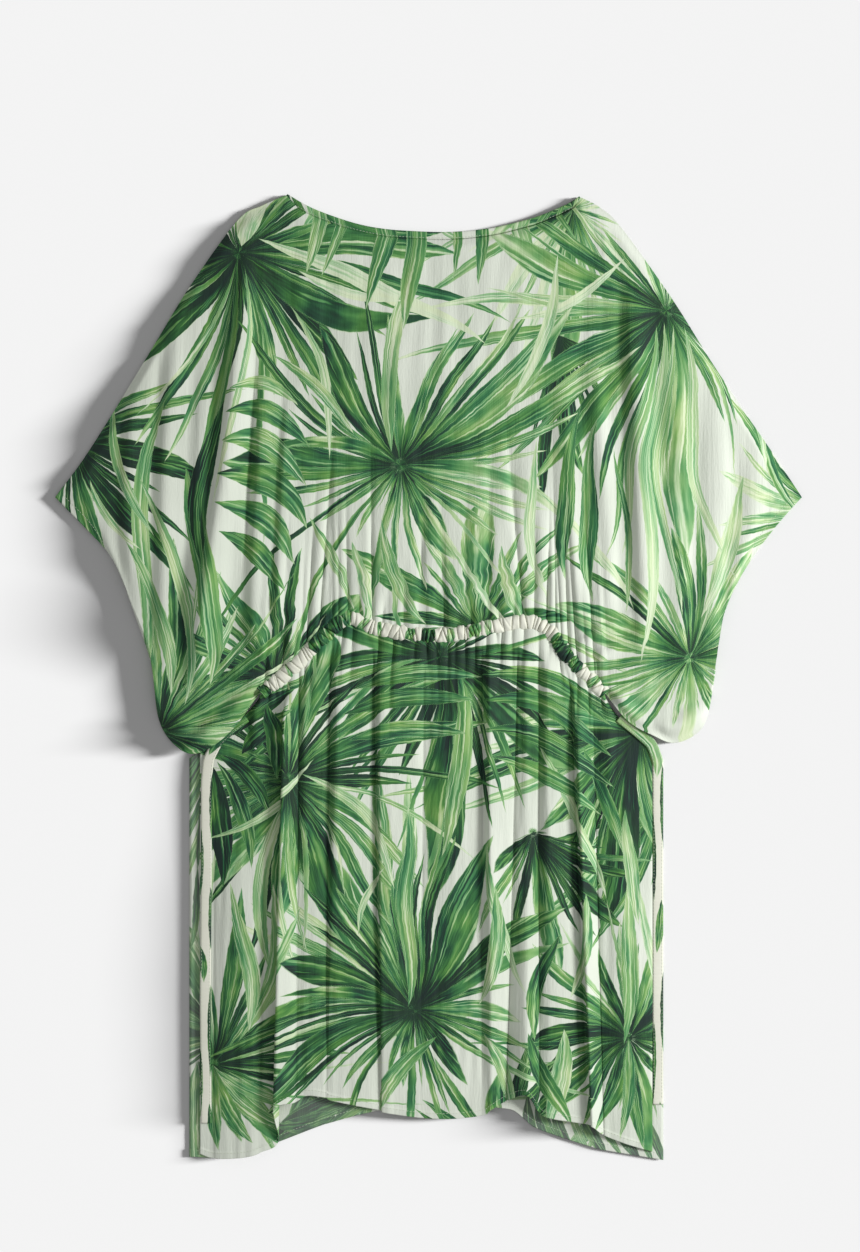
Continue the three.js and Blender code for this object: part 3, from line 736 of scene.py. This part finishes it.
def drawFan(ink, part):
    x, y = turned(part)
    squared = x * x
    hung = squared.times(part["droop"], y)
    away = hung.times(hung, squared).math("SQRT")
    sector = x.math("ARCTAN2", hung) * part["perTurn"]
    uneven = sector.times(palm["unevenPace"], part["seed"]).math("SINE")
    sector = uneven.times(palm["unevenness"], sector)
    index = sector.math("ROUND")
    noise = ink.add("ShaderNodeTexWhiteNoise", {"noise_dimensions": "1D"}, {
        "W": part["seed"].times(palm["seedStep"], index)})
    chance = ink.add("ShaderNodeSeparateColor", None, {"Color": noise["Color"]})
    shorter = ink.soften(index.math("ABSOLUTE"), part["full"], part["gone"], 1.0, part["stub"])
    longest = chance["Red"].times(palm["shortest"], palm["shortest"]) * shorter
    along = away / longest
    bent = (chance["Green"] - 0.5) * along.math("MULTIPLY", along) * palm["sideways"]
    bent = (noise["Value"] - 0.5).times(part["strewn"], bent)
    offset = sector - index + bent
    widest = chance["Green"].times(0.5, palm["narrowest"]) * part["fat"]
    fused = along.times(-printing["fusing"], 1, clamp=True) * part["fat"]
    room = (1 - along.math("POWER", printing["pointed"])) * widest - offset.math("ABSOLUTE")
    inside = fused.times(palm["fusedBy"], room) * away * part["pitch"]
    mask = inside.math("MULTIPLY", 1 / printing["softEdge"], clamp=True)
    heart = away.times(-palm["heart"], palm["heartEdge"], clamp=True)
    rim = inside.math("MULTIPLY", 1 / printing["rim"], clamp=True)
    tone = rim.times(palm["rimDark"], chance["Blue"].times(palm["toneSpread"], part["tone"]))
    crease = offset.math("ABSOLUTE").times(palm["creaseGain"], palm["creaseStart"], clamp=True)
    tone = (crease * fused).times(palm["creaseDark"], tone)
    where = part["seed"].times(palm["seedShift"], sector + bent)
    data = ink.vector(x.times(part["side"], tone), along, where)
    return mask.math("MAXIMUM", heart), data


def drawBlade(ink, part):
    along, side = turned(part)
    arch = along * (1 - along)
    across = arch.times(part["bow"], side)
    room = arch.math("MULTIPLY", part["width"]) - across.math("ABSOLUTE")
    mask = room.math("MULTIPLY", part["edge"], clamp=True)
    rim = room.math("MULTIPLY", part["rim"], clamp=True)
    data = ink.vector(rim.times(palmBlade["rimDark"], part["tone"]),
                      along.times(palmBlade["pace"], palmBlade["start"]),
                      across.times(part["spread"], part["seed"]))
    return mask, data


def makeMotif(name, draw, numbers):
    tree = bpy.data.node_groups.new(name, "ShaderNodeTree")
    for key in ("across", "up", "cosine", "sine", "minusSine", "shiftX", "shiftY", *numbers):
        tree.interface.new_socket(name=key, in_out="INPUT", socket_type="NodeSocketFloat")
    tree.interface.new_socket(name="mask", in_out="OUTPUT", socket_type="NodeSocketFloat")
    tree.interface.new_socket(name="data", in_out="OUTPUT", socket_type="NodeSocketVector")
    start = tree.nodes.new("NodeGroupInput")
    mask, data = draw(Nodes(tree), {socket.name: Wire(socket) for socket in start.outputs})
    end = tree.nodes.new("NodeGroupOutput")
    tree.links.new(mask.socket, end.inputs["mask"])
    tree.links.new(data.socket, end.inputs["data"])
    return tree


fanShape = makeMotif("palmFan", drawFan, (
    "droop", "perTurn", "seed", "full", "gone", "stub", "strewn", "fat", "pitch", "tone", "side"))
bladeShape = makeMotif("palmBlade", drawBlade, ("bow", "width", "edge", "rim", "tone", "spread", "seed"))


loosePalm = {"blades": 9.6, "fat": 0.085, "strewn": 0.7, "full": 5, "gone": 6, "stub": 0.6}
looser = {"reach": 1.12, "seed": 0.37, "turn": 17}


def fanNumbers(row, loose):  # the last fans are drawn twice: full, then a few loose long blades over it
    fan = dict(zip(fanColumns, row))
    if loose:
        fan.update(loosePalm, reach=fan["reach"] * looser["reach"], seed=fan["seed"] + looser["seed"],
                   turn=fan["turn"] + looser["turn"], droop=-fan["droop"])
    else:
        finer = {key: fan[key] * printing["finer"] for key in ("blades", "full", "gone")}
        fan.update(finer, fat=printing["fat"], strewn=0, tone=fan["tone"] + palm["toneShift"])
    numbers = placing(fan["x"], fan["y"], fan["turn"] - 90, fan["reach"])
    for key in ("droop", "seed", "full", "gone", "stub", "strewn", "fat", "tone", "side"):
        numbers[key] = fan[key]
    numbers["perTurn"] = fan["blades"] / (2 * math.pi)
    numbers["pitch"] = fan["reach"] / numbers["perTurn"]  # a blade's share of the round, at full reach
    return numbers


def bladeNumbers(row, seed):
    blade = dict(zip(bladeColumns, row))
    runX, runY = blade["x1"] - blade["x0"], blade["y1"] - blade["y0"]
    length = math.hypot(runX, runY)
    return {**placing(blade["x0"], blade["y0"], math.degrees(math.atan2(runY, runX)), length),
            "bow": -4 * blade["bow"] / length, "width": 2 * blade["width"] / length,
            "edge": length / printing["softEdge"], "rim": length / printing["rim"],
            "tone": blade["tone"] + palmBlade["toneShift"],
            "spread": length / blade["width"] * palmBlade["spread"], "seed": seed * palm["seedShift"]}


def drawMotifs(ink, chart, fans, blades):  # each over the ones before it
    motifs = [(fanShape, fanNumbers(row, loose)) for k, row in enumerate(fans)
              for loose in ((False, True) if k >= len(fans) - printing["looseOver"] else (False,))]
    motifs += [(bladeShape, bladeNumbers(row, palmBlade["firstSeed"] + k)) for k, row in enumerate(blades)]
    covered, data = None, None
    for shape, numbers in motifs:
        across = chart[0] if covered is None else covered.times(1e-7, chart[0])  # waits its turn
        inputs = {**numbers, "across": across, "up": chart[1]}
        drawn = ink.add("ShaderNodeGroup", {"node_tree": shape}, inputs)
        if covered is None:
            covered, data = drawn["mask"], drawn["data"]
        else:
            covered = covered.math("MAXIMUM", drawn["mask"])
            data = ink.mix("VECTOR", drawn["mask"], data, drawn["data"])
    return covered, data


# The noise in a leaf: how often it repeats across and along a blade, its shift, detail and roughness.
streaks = {
    "veins": (8, 1.6, 0, 3.0, 0.85),
    "lines": (19, 2.2, 3, 1.0, 0.6),
    "broad": (1.9, 3.4, 7, 2.0, 0.55),
}
shades = {"veins": 0.8, "broad": 0.75, "towardsTip": 0.24, "heart": -0.4, "pale": 0.36, "slit": 0.55,
          "rib": 0.26}


def streaked(ink, along, sector, kind):
    often, pace, shift, detail, roughness = streaks[kind]
    return ink.noise(ink.vector(sector * often, along * pace + shift), 1.0, detail, roughness)["Fac"]


def leafColour(ink, data, lighter):  # veins run along each blade, dark at its heart and paler towards its tip
    split = ink.add("ShaderNodeSeparateXYZ", None, {"Vector": data})
    tone, along, sector = split["X"], split["Y"], split["Z"]
    offset = (sector - sector.math("ROUND")).math("ABSOLUTE")
    veins, lines, broad = (streaked(ink, along, sector, kind) for kind in ("veins", "lines", "broad"))
    pale = ink.soften(lines, 0.6, 0.68, 0.0, shades["pale"])
    heart = ink.soften(along, 0.0, 0.3, shades["heart"], 0.0)
    shade = tone + lighter + (veins - 0.5) * shades["veins"] + (broad - 0.5) * shades["broad"]
    shade = shade + (along - 0.5) * shades["towardsTip"] + heart + pale
    fading = along.times(4, -0.5, clamp=True)
    slit = ink.soften(offset, 0.44, 0.49, 0.0, shades["slit"])
    rib = ink.soften(offset, 0.015, 0.045, shades["rib"], 0.0)
    shade = shade + (slit + rib) * fading
    cool = ink.add("ShaderNodeValToRGB", {"stops": printing["cool"]}, {"Fac": shade})["Color"]
    warm = ink.add("ShaderNodeValToRGB", {"stops": printing["warm"]}, {"Fac": shade})["Color"]
    return ink.mix("RGBA", broad.times(2.4, -0.8, clamp=True), cool, warm)


clothLook = {"stainScale": 14.0, "faded": (216, 218, 210), "crinkle": (170, 9), "weave": (700, 160),
             "weaveShare": 0.3, "bump": 0.0005, "roughness": 0.82}


def printedFinish(name, fans, blades, lighter=0.0, fade=0.0, unsteady=1.0, ground="ground"):
    ink = Finish(name)
    cloth = ink.add("ShaderNodeUVMap", {"uv_map": "cloth"})["UV"]
    bent = ink.shaken(cloth, cloth, printing["bend"] * unsteady, printing["bendScale"], 1.0)
    bent = ink.shaken(bent, cloth, printing["wave"] * unsteady, printing["waveScale"], 0.0)
    bent = ink.shaken(bent, cloth, printing["ragged"], printing["raggedScale"], 1.0)
    split = ink.add("ShaderNodeSeparateXYZ", None, {"Vector": bent})
    chart = (split["X"] * 1000, split["Y"] * 1000)  # millimetres of flat cloth
    covered, data = drawMotifs(ink, chart, fans, blades)
    leaf = leafColour(ink, data, lighter)
    stain = ink.noise(cloth, clothLook["stainScale"])["Fac"]
    plain = ink.mix("RGBA", stain, *((*inkColour(tint), 1) for tint in printing[ground]))
    colour = ink.mix("RGBA", covered, plain, leaf)
    if fade:
        colour = ink.mix("RGBA", fade, colour, (*inkColour(clothLook["faded"]), 1))
    split = ink.add("ShaderNodeSeparateXYZ", None, {"Vector": cloth})
    marks = {key: ink.vector(*(split[axis] * often for axis, often in zip("XY", clothLook[key])))
             for key in ("crinkle", "weave")}
    crinkle = ink.noise(marks["crinkle"], 1.0, 3.0, 0.6)["Fac"]
    weave = ink.noise(marks["weave"], 1.0, 1.0, 0.5)["Fac"]
    height = crinkle + weave * clothLook["weaveShare"]
    bump = ink.add("ShaderNodeBump", None, {"Strength": 1.0, "Distance": clothLook["bump"], "Height": height})
    ink.set(Base_Color=colour, Roughness=clothLook["roughness"], Normal=bump["Normal"])
    return ink.material


def plainMaterial(name, colour, roughness=0.8, gloss=0.5):
    finish = Finish(name)
    finish.set(Base_Color=(*colour, 1), Roughness=roughness, Specular_IOR_Level=gloss)
    return finish.material


bodicePrint = printedFinish("bodicePrint", bodiceFans, bodiceBlades, lighter=0.13)
skirtPrint = printedFinish("skirtPrint", skirtFans, skirtBlades, lighter=-0.01)
printInside = printedFinish("printInside", skirtFans[4:], skirtBlades[::2] + insideBlades, fade=0.14)
casingCloth = printedFinish("casingPrint", [], casingBlades, unsteady=0.05, ground="cream")
tieCloth = printedFinish("tiePrint", [], tieBlades, unsteady=0.05, ground="cream")
threadFinish = plainMaterial("thread", inkColour((196, 206, 184)), 0.6)
print("print drawn:", len(bodicePrint.node_tree.nodes), "and", len(skirtPrint.node_tree.nodes), "nodes")

backBodice, bodiceTop = makeBodice("bodiceBack", "back", bodicePrint, 124, 52, 215)
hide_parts("back_bodice")
frontBodice, _ = makeBodice("bodiceFront", "front", bodicePrint, 40, 24, 60)
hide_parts("front_bodice")
print("bodice made")

# Folds of the back skirt from left to right: where each crest or valley is, its height, and its lean.
skirt = {
    "columns": ("topX", "hemX", "hemY", "topRise", "midRise", "hemRise", "lean"),
    "rows": [
        (-213, -213, -444, 0, 0, 0, 0),
        (-199, -200, -448, 0, 0.5, 0.3, 0),
        (-172, -171, -447, 1, 6, 4, -2),
        (-152, -156, -442, 1, 2.5, 2, 0),
        (-139, -147, -433, 0, 0.4, 0, 7),
        (-129, -139, -400, 9, 13, 13, -4),
        (-120, -124, -395, 3, 4, 5, 0),
        (-114, -112, -389, 8, 6, 5, -1),
        (-91, -97, -391, 1, 2, 4, 1),
        (-81, -87, -394, 9, 8, 5, -2),
        (-53, -47, -403, 1, 1, 2, 2),
        (-43, -38, -405, 9, 8, 4, -3),
        (-4, -8, -410, 1, 1, 2, 0),
        (22, 22, -411, 6, 3, 2, -1),
        (49, 48, -408, 0, 0.5, 1, 2),
        (58, 61, -402, 8, 9, 4, -2),
        (83, 72, -394, 1, 1, 0, 1),
        (93, 93, -388, 6, 5, 12, -2),
        (103, 103, -405, 1, 2, 4, 0),
        (113, 116, -410, 6, 8, 6, -2),
        (129, 146, -416, 1, 1, 3, 3),
        (138, 154, -417, 9, 12, 11, -2),
        (152, 163, -426, 1, 1, 1, 0),
        (178, 184, -434, 2, 5, 3, -1),
        (208.5, 208.5, -442, 0, 0, 0, 0),
    ],
    "corners": (0, 24),
    "hem": 6,
    "shell": 0.6,
    "fuller": 1.2,
    "foldStart": 8,
    "foldFull": 44,
}


def steadyTable(table, at, key, pointed=0.0):  # between two rows the value never leaves their range
    values = np.array([row[table["columns"].index(key)] for row in table["rows"]], float)
    index = np.clip(np.floor(at).astype(int), 0, len(values) - 2)
    share = at - index
    rising = values[index + 1] > values[index]
    keen = np.where(rising, share ** 0.6, 1 - (1 - share) ** 0.6)  # crests round, valleys sharp
    shape = pointed * keen + (1 - pointed) * ease(share, 0, 1)
    return values[index] + (values[index + 1] - values[index]) * shape


def makeSkirtBack(name, cloth, rows, columns):
    topX = np.array([row[0] for row in skirt["rows"]], float)
    weights = np.maximum(np.diff(topX), 9)
    counts = np.maximum(np.round(columns * weights / weights.sum()).astype(int), 5)
    at = np.concatenate([i + np.arange(n) / n for i, n in enumerate(counts)] + [[len(topX) - 1]])
    lineTop = np.interp(at, np.arange(len(topX)), topX)
    lineHem = readTable(skirt, at, "hemX")
    hemY = readTable(skirt, at, "hemY")
    topY = skirtTopY(lineTop)
    length = topY - hemY
    up = edgeSteps(length, rows, skirt["hem"])
    down = 1 - up
    fromWaist = down * length[:, None]
    x = lineHem[:, None] + (lineTop - lineHem)[:, None] * up
    y = hemY[:, None] + length[:, None] * up
    rises = [steadyTable(skirt, at, key, 0.85)[:, None] for key in ("topRise", "midRise", "hemRise")]
    upper = rises[0] + (rises[1] - rises[0]) * np.minimum(down * 2, 1)
    rise = (upper + (rises[2] - upper) * np.maximum(down * 2 - 1, 0)) * skirt["fuller"]
    grown = ease(fromWaist, skirt["foldStart"], skirt["foldFull"])
    endX, _, _ = sideSizes(lineTop)
    atWaist = ease(np.abs(lineTop) - endX, 12, 4)[:, None]
    run = np.interp(lineTop, waistX, waistRun)[:, None] + np.zeros_like(x)
    gathered = gatherHeight(run, fromWaist, gathersBelow, 5) * atWaist
    lean = steadyTable(skirt, at, "lean")[:, None] * grown
    toSide = np.minimum(lineTop - lineTop[0], lineTop[-1] - lineTop)[:, None]
    uneven = (ripple(x, y, 9, 0.6, 60, 22, 9) + ripple(x, y, 19, 0.22, 14, 8, 8)) * ease(toSide, 0, 25)
    uneven = uneven * ease(fromWaist, 0, 50)
    z = layers["wall"] + layers["gap"] + liftAtWaist(fromWaist) * atWaist + rise * grown + gathered
    z = z + np.maximum(uneven, -0.8 * (rise * grown + gathered + 0.3))
    z = z + hemStep((1 - down) * length[:, None], skirt["hem"])  # measured up from the hem
    x = x + lean
    points = np.stack([x, y, z], axis=-1)
    return makeShell(name, points, skirt["shell"], cloth, flatSpots(points))


backSkirt, skirtTop = makeSkirtBack("skirtBack", skirtPrint, 128, 325)
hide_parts("back_skirt")

frontHem = {
    "columns": ("x", "y"),
    "rows": [(-223, -447), (-180, -447), (-137, -432), (-98, -417), (-47, -404), (20, -400), (78, -403),
             (98, -419), (124, -429), (159, -440), (219, -450)],
    "corners": (0, 10),
    "band": 7,
}


def makeSkirtFront(name, cloth, rows, columns):
    x = np.linspace(-skirtReach["left"], skirtReach["right"], columns)
    knots = [row[0] for row in frontHem["rows"]]
    at = np.interp(x, knots, np.arange(len(knots)))
    hemY = readTable(frontHem, at, "y")
    topY = skirtTopY(x)
    length = topY - hemY
    up = edgeSteps(length, rows, frontHem["band"])
    fromWaist = (1 - up) * length[:, None]
    x = x[:, None] + np.zeros_like(up)
    y = hemY[:, None] + length[:, None] * up
    endX, _, _ = sideSizes(x)
    z = liftAtWaist(fromWaist) * ease(np.abs(x) - endX, 12, 4)
    z = z + hemStep(up * length[:, None], frontHem["band"], 0.55)
    points = np.stack([x, y, z], axis=-1)
    return makeShell(name, points, skirt["shell"], cloth, np.stack([-x, y], axis=-1))


frontSkirt, frontSkirtTop = makeSkirtFront("skirtFront", printInside, 60, 150)
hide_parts("front_skirt")
print("skirt made")

casing = {
    "half": 6.3, "crown": 5.2, "under": 4.2, "crease": 0.8, "depth": 4.4, "scallop": 1.2,
    "narrowest": 2.0, "widest": 8.0, "slant": 3.2, "shell": 0.6, "spread": 9,
    "flatHalf": 6, "flatUnder": 0.1, "flatShell": 0.7,
}
neckBand = {"width": 7, "rise": 0.5, "steps": 9, "shell": 0.8, "under": 0.1, "printShift": 14}


def casingLine(steps):  # the middle of the casing along the waist seam, and its direction
    run = np.linspace(0, waistRun[-1], steps)
    at = np.interp(run, waistRun, waistStations)
    centreX, centreY = readTable(bodice, at, "lowX"), readTable(bodice, at, "lowY") - layers["overlap"] / 2
    ways = np.stack([np.gradient(centreX), np.gradient(centreY)], axis=1)
    ways = np.stack([smoothed(way, 15, mode="edge") for way in ways.T], axis=1)
    ways = ways / np.linalg.norm(ways, axis=1, keepdims=True)
    return run[:, None], centreX[:, None], centreY[:, None], ways


def casingCreases():  # where each ruffle's crease is, its slant and its depth
    chance = random.Random(31)
    creases = []
    spot = casing["narrowest"]
    while spot < waistRun[-1]:
        creases.append((spot, chance.uniform(-1, 1) * casing["slant"], chance.uniform(0.2, 1)))
        spot += casing["narrowest"] + (casing["widest"] - casing["narrowest"]) * chance.random() ** 1.3
    return creases


def makeFlatCasing(name, cloth, steps, across):
    _, centreX, centreY, ways = casingLine(steps)
    share = np.linspace(-1, 1, across)[None, :]
    x = centreX - ways[:, 1:] * casing["flatHalf"] * share
    y = centreY + ways[:, :1] * casing["flatHalf"] * share
    points = np.stack([x, y, np.zeros_like(x) + casing["flatUnder"]], axis=-1)
    return makeShell(name, points, casing["flatShell"], cloth, points[..., :2])[0]


def makeRuffledCasing(name, cloth, steps, across):
    run, centreX, centreY, ways = casingLine(steps)
    share = -np.cos(np.linspace(0, math.pi, across))[None, :]
    dip = np.zeros((steps, across))
    for spot, slant, depth in casingCreases():
        away = (run - spot - slant * share) / casing["crease"]
        dip = np.maximum(dip, depth * np.exp(-away ** 2))
    pinch = dip.mean(axis=1, keepdims=True)
    half = casing["half"] + casing["scallop"] * (0.5 - 1.4 * pinch) + ripple(run, run * 0, 3, 0.6, 30, 7, 6)
    x = centreX - ways[:, 1:] * half * share
    y = centreY + ways[:, :1] * half * share
    arch = np.sqrt(np.clip(1 - share ** 2, 0, 1))
    crown = casing["crown"] + ripple(run + 4 * share, run * 0 + 9 * share, 13, 0.8, 34, 8, 6)
    z = casing["under"] + crown * arch - casing["depth"] * dip * arch ** 0.6
    spread = np.stack([run + 0 * x, share * casing["spread"] + 0 * x], axis=-1)
    return makeShell(name, np.stack([x, y, z], axis=-1), casing["shell"], cloth, spread)[0]


casingBack = makeRuffledCasing("casingBack", casingCloth, 700, 23)
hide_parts("waist_casing_back")
casingFront = makeFlatCasing("casingFront", skirtPrint, 90, 5)
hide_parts("waist_casing_front")


def makeNeckBand(name, side, steps, cloth):
    at = np.linspace(bodice["waistStart"], bodice["waistEnd"], steps)
    line, length, _ = bodiceLine(at, side)
    fromEnd = np.minimum(at - at[0], at[-1] - at)
    width = neckBand["width"] * np.clip(fromEnd * 2, 0.08, 1)
    across = np.linspace(0, 1, neckBand["steps"])[None, :]
    shares = 1 - (width / length)[:, None] * (1 - across)
    x, y = bodiceSpots(line, shares)
    rim = line[3][:, None]
    under = neckBand["under"] if side == "front" else layers["wall"] + layers["gap"]
    z = under + neckBand["rise"] * np.sqrt(np.clip(1 - (2 * across - 1) ** 4, 0, 1)) + np.zeros_like(x)
    spread = np.stack([x, 2 * rim - y - neckBand["printShift"]], axis=-1)  # turned over the edge
    return makeShell(name, np.stack([x, y, z], axis=-1), neckBand["shell"], cloth, spread)


bandBack, bandTop = makeNeckBand("neckBandBack", "back", 220, bodicePrint)
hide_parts("neck_band_back")
bandFront, _ = makeNeckBand("neckBandFront", "front", 90, bodicePrint)
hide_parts("neck_band_front")

ties = {
    "width": 10, "thick": 0.9, "pillow": 0.5, "steps": 260, "across": 9,
    "left": [(-170, -37, 3.7), (-182, -46, 3.7), (-197, -60, 3.7), (-205, -76, 3.7), (-207, -98, 3.7),
             (-207, -190, 3.7), (-208, -300, 3.7), (-207, -415, 3.7)],
    "right": [(178, -37, 3.7), (193, -49, 3.7), (208, -62, 3.6), (213.9, -78, 2.9), (213.9, -98, 1.5),
              (213.9, -190, 1.4), (213.9, -300, 1.4), (213.9, -398, 1.4)],
}


def pointsAlong(line, spots):  # the points of a line at these distances along it
    reach = runAlong(line)
    return np.stack([np.interp(spots, reach, line[:, k]) for k in range(3)], axis=1)


def smoothRoute(points, steps):
    points = np.array(points, float)
    route = pointsAlong(points, np.linspace(0, runAlong(points)[-1], steps))
    return np.stack([smoothed(column, 13, mode="reflect", reflect_type="odd") for column in route.T], axis=1)


def makeTie(name, route, cloth, shift):
    line = smoothRoute(route, ties["steps"])
    ways = np.gradient(line[:, :2], axis=0)
    ways = ways / np.linalg.norm(ways, axis=1, keepdims=True)
    share = np.linspace(-1, 1, ties["across"])[None, :]
    half = ties["width"] / 2
    x = line[:, :1] - ways[:, 1:] * half * share
    y = line[:, 1:2] + ways[:, :1] * half * share
    z = line[:, 2:] + np.zeros_like(x)
    thickness = ties["thick"] - ties["pillow"] * share ** 4 * np.ones_like(x)
    spread = np.stack([runAlong(line)[:, None] + shift + 0 * x, share * half + 0 * x], axis=-1)
    return makeShell(name, np.stack([x, y, z], axis=-1), thickness, cloth, spread)


tieLeft, tieLeftTop = makeTie("tieLeft", ties["left"], tieCloth, 0)
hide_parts("tie_left")
tieRight, tieRightTop = makeTie("tieRight", ties["right"], tieCloth, 500)
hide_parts("tie_right")
print("casing, neck bands and ties made")

stitch = {"length": 2.2, "gap": 0.9, "radius": 0.2, "sides": 5, "thinEnd": 0.35, "rise": 0.16,
          "first": 0.6, "rings": (0, 0.2, 0.5, 0.8, 1)}


def addStitch(spots, vertices, faces):  # one thread, thinner at both ends and bulging in the middle
    way = spots[-1] - spots[0]
    way = way / np.linalg.norm(way)
    side = np.cross(way, (0, 0, 1))
    base = len(vertices)
    sides = stitch["sides"]
    for spot, share in zip(spots, stitch["rings"]):
        bulge = math.sin(math.pi * share)
        radius = stitch["radius"] * (stitch["thinEnd"] + (1 - stitch["thinEnd"]) * bulge)
        for turn in range(sides):
            angle = 2 * math.pi * turn / sides
            up = np.array([0, 0, radius * math.sin(angle) + stitch["rise"] * bulge])
            vertices.append(spot + side * radius * math.cos(angle) + up)
    for ring in range(len(spots) - 1):
        for turn in range(sides):
            a, b = base + ring * sides + turn, base + ring * sides + (turn + 1) % sides
            faces.append((a, b, b + sides, a + sides))
    last = base + (len(spots) - 1) * sides
    faces.append(tuple(base + turn for turn in reversed(range(sides))))
    faces.append(tuple(last + turn for turn in range(sides)))


def stitchesAlong(line, vertices, faces):  # short threads end to end on a line of the cloth
    pitch = stitch["length"] + stitch["gap"]
    for start in np.arange(stitch["first"], runAlong(line)[-1] - pitch, pitch):
        addStitch(pointsAlong(line, start + np.array(stitch["rings"]) * stitch["length"]), vertices, faces)


def makeStitches(name, lines, cloth):
    vertices, faces = [], []
    for line in lines:
        stitchesAlong(line, vertices, faces)
    mesh = bpy.data.meshes.new(name)
    mesh.from_pydata([tuple(vertex * mm) for vertex in vertices], [], faces)
    mesh.polygons.foreach_set("use_smooth", np.ones(len(faces), bool))
    mesh.materials.append(cloth)
    piece = link(name, mesh)
    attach(piece, "root")
    return piece


def gridLine(grid, distance, edge):  # a line on the cloth at one distance from an edge
    if edge in ("low", "top"):
        lines = grid if edge == "low" else grid[:, ::-1]
    else:
        lines = grid.transpose(1, 0, 2) if edge == "start" else grid[::-1].transpose(1, 0, 2)
    return np.array([pointsAlong(line, [distance])[0] for line in lines])


hemLine = gridLine(skirtTop, skirt["hem"] - 0.9, "low")[4:-4]
cuffLeft = gridLine(bodiceTop, bodice["cuffHem"] - 1, "start")[3:-3]
cuffRight = gridLine(bodiceTop, bodice["cuffHem"] - 1, "end")[3:-3]
neckLine = gridLine(bandTop, neckBand["width"] - 1.2, "top")[8:-8]
frontHemLine = gridLine(frontSkirtTop, frontHem["band"] - 1.1, "low")[2:-2]
hemStitches = makeStitches("hemStitches", [hemLine], threadFinish)
cuffStitches = makeStitches("cuffStitches", [cuffLeft, cuffRight], threadFinish)
frontHemStitches = makeStitches("frontHemStitches", [frontHemLine], threadFinish)
neckStitches = makeStitches("neckStitches", [neckLine], threadFinish)
tieStitches = [
    makeStitches(name, [gridLine(top, 1.3, edge)[3:-3] for edge in ("low", "top")], threadFinish)
    for name, top in (("tieLeftStitches", tieLeftTop), ("tieRightStitches", tieRightTop))]
print("stitches made")

view = {"x": 1.4, "y": 48, "height": 1168, "lens": 85, "sensor": 36}


def makeView():
    camera = bpy.data.cameras.new("camera")
    camera.lens = view["lens"]
    camera.sensor_width = view["sensor"]
    camera.clip_end = 20
    eye = link("camera", camera)
    eye.location = (view["x"] * mm, view["y"] * mm, view["height"] * mm * view["lens"] / view["sensor"])
    bpy.context.scene.camera = eye


lowSun = {"azimuth": 6, "elevation": 10.5, "softness": 9, "strength": 22.4}
lamp = {"azimuth": 4, "elevation": 35, "distance": 2000, "across": 640, "power": 39.4}
studio = {"half": 6, "below": 0.0004, "paper": 0.518, "around": 0.44}


def addLowSun():  # lays the wide soft shadow on the floor
    light = bpy.data.lights.new("low", "SUN")
    light.energy = lowSun["strength"]
    light.angle = math.radians(lowSun["softness"])
    low = link("low", light)
    low.rotation_euler = (0, math.radians(90 - lowSun["elevation"]), math.radians(lowSun["azimuth"]))
    return low


def addLamp():  # a round softbox to the right, near enough to light the left side less
    light = bpy.data.lights.new("key", "AREA")
    light.shape = "DISK"
    light.size = lamp["across"] * mm
    light.energy = lamp["power"]
    key = link("key", light)
    azimuth, elevation = math.radians(lamp["azimuth"]), math.radians(lamp["elevation"])
    away = lamp["distance"] * mm
    level = away * math.cos(elevation)
    key.location = (level * math.cos(azimuth), level * math.sin(azimuth), away * math.sin(elevation))
    key.rotation_euler = (0, math.pi / 2 - elevation, azimuth)
    return key


def lightOnly(light, pieces):
    lit = bpy.data.collections.new(light.name + "Lights")
    for piece in pieces:
        lit.objects.link(piece)
    light.light_linking.receiver_collection = lit


def makeStage():
    mesh = bpy.data.meshes.new("floor")
    half = studio["half"]
    corners = [(-half, -half, 0), (half, -half, 0), (half, half, 0), (-half, half, 0)]
    mesh.from_pydata(corners, [], [(0, 1, 2, 3)])
    floor = link("floor", mesh)
    floor.location.z = -studio["below"]
    mesh.materials.append(plainMaterial("floorPaper", [studio["paper"]] * 3, 0.9, gloss=0))
    cloth = [piece for piece in bpy.context.scene.objects if piece.type == "MESH" and piece != floor]
    lightOnly(addLamp(), cloth)
    lightOnly(addLowSun(), [floor])
    world = bpy.data.worlds.new("studio")
    world.use_nodes = True
    world.node_tree.nodes["Background"].inputs["Color"].default_value = (1, 1, 1, 1)
    world.node_tree.nodes["Background"].inputs["Strength"].default_value = studio["around"]
    bpy.context.scene.world = world
    bpy.context.scene.view_settings.view_transform = "Standard"


makeView()
makeStage()
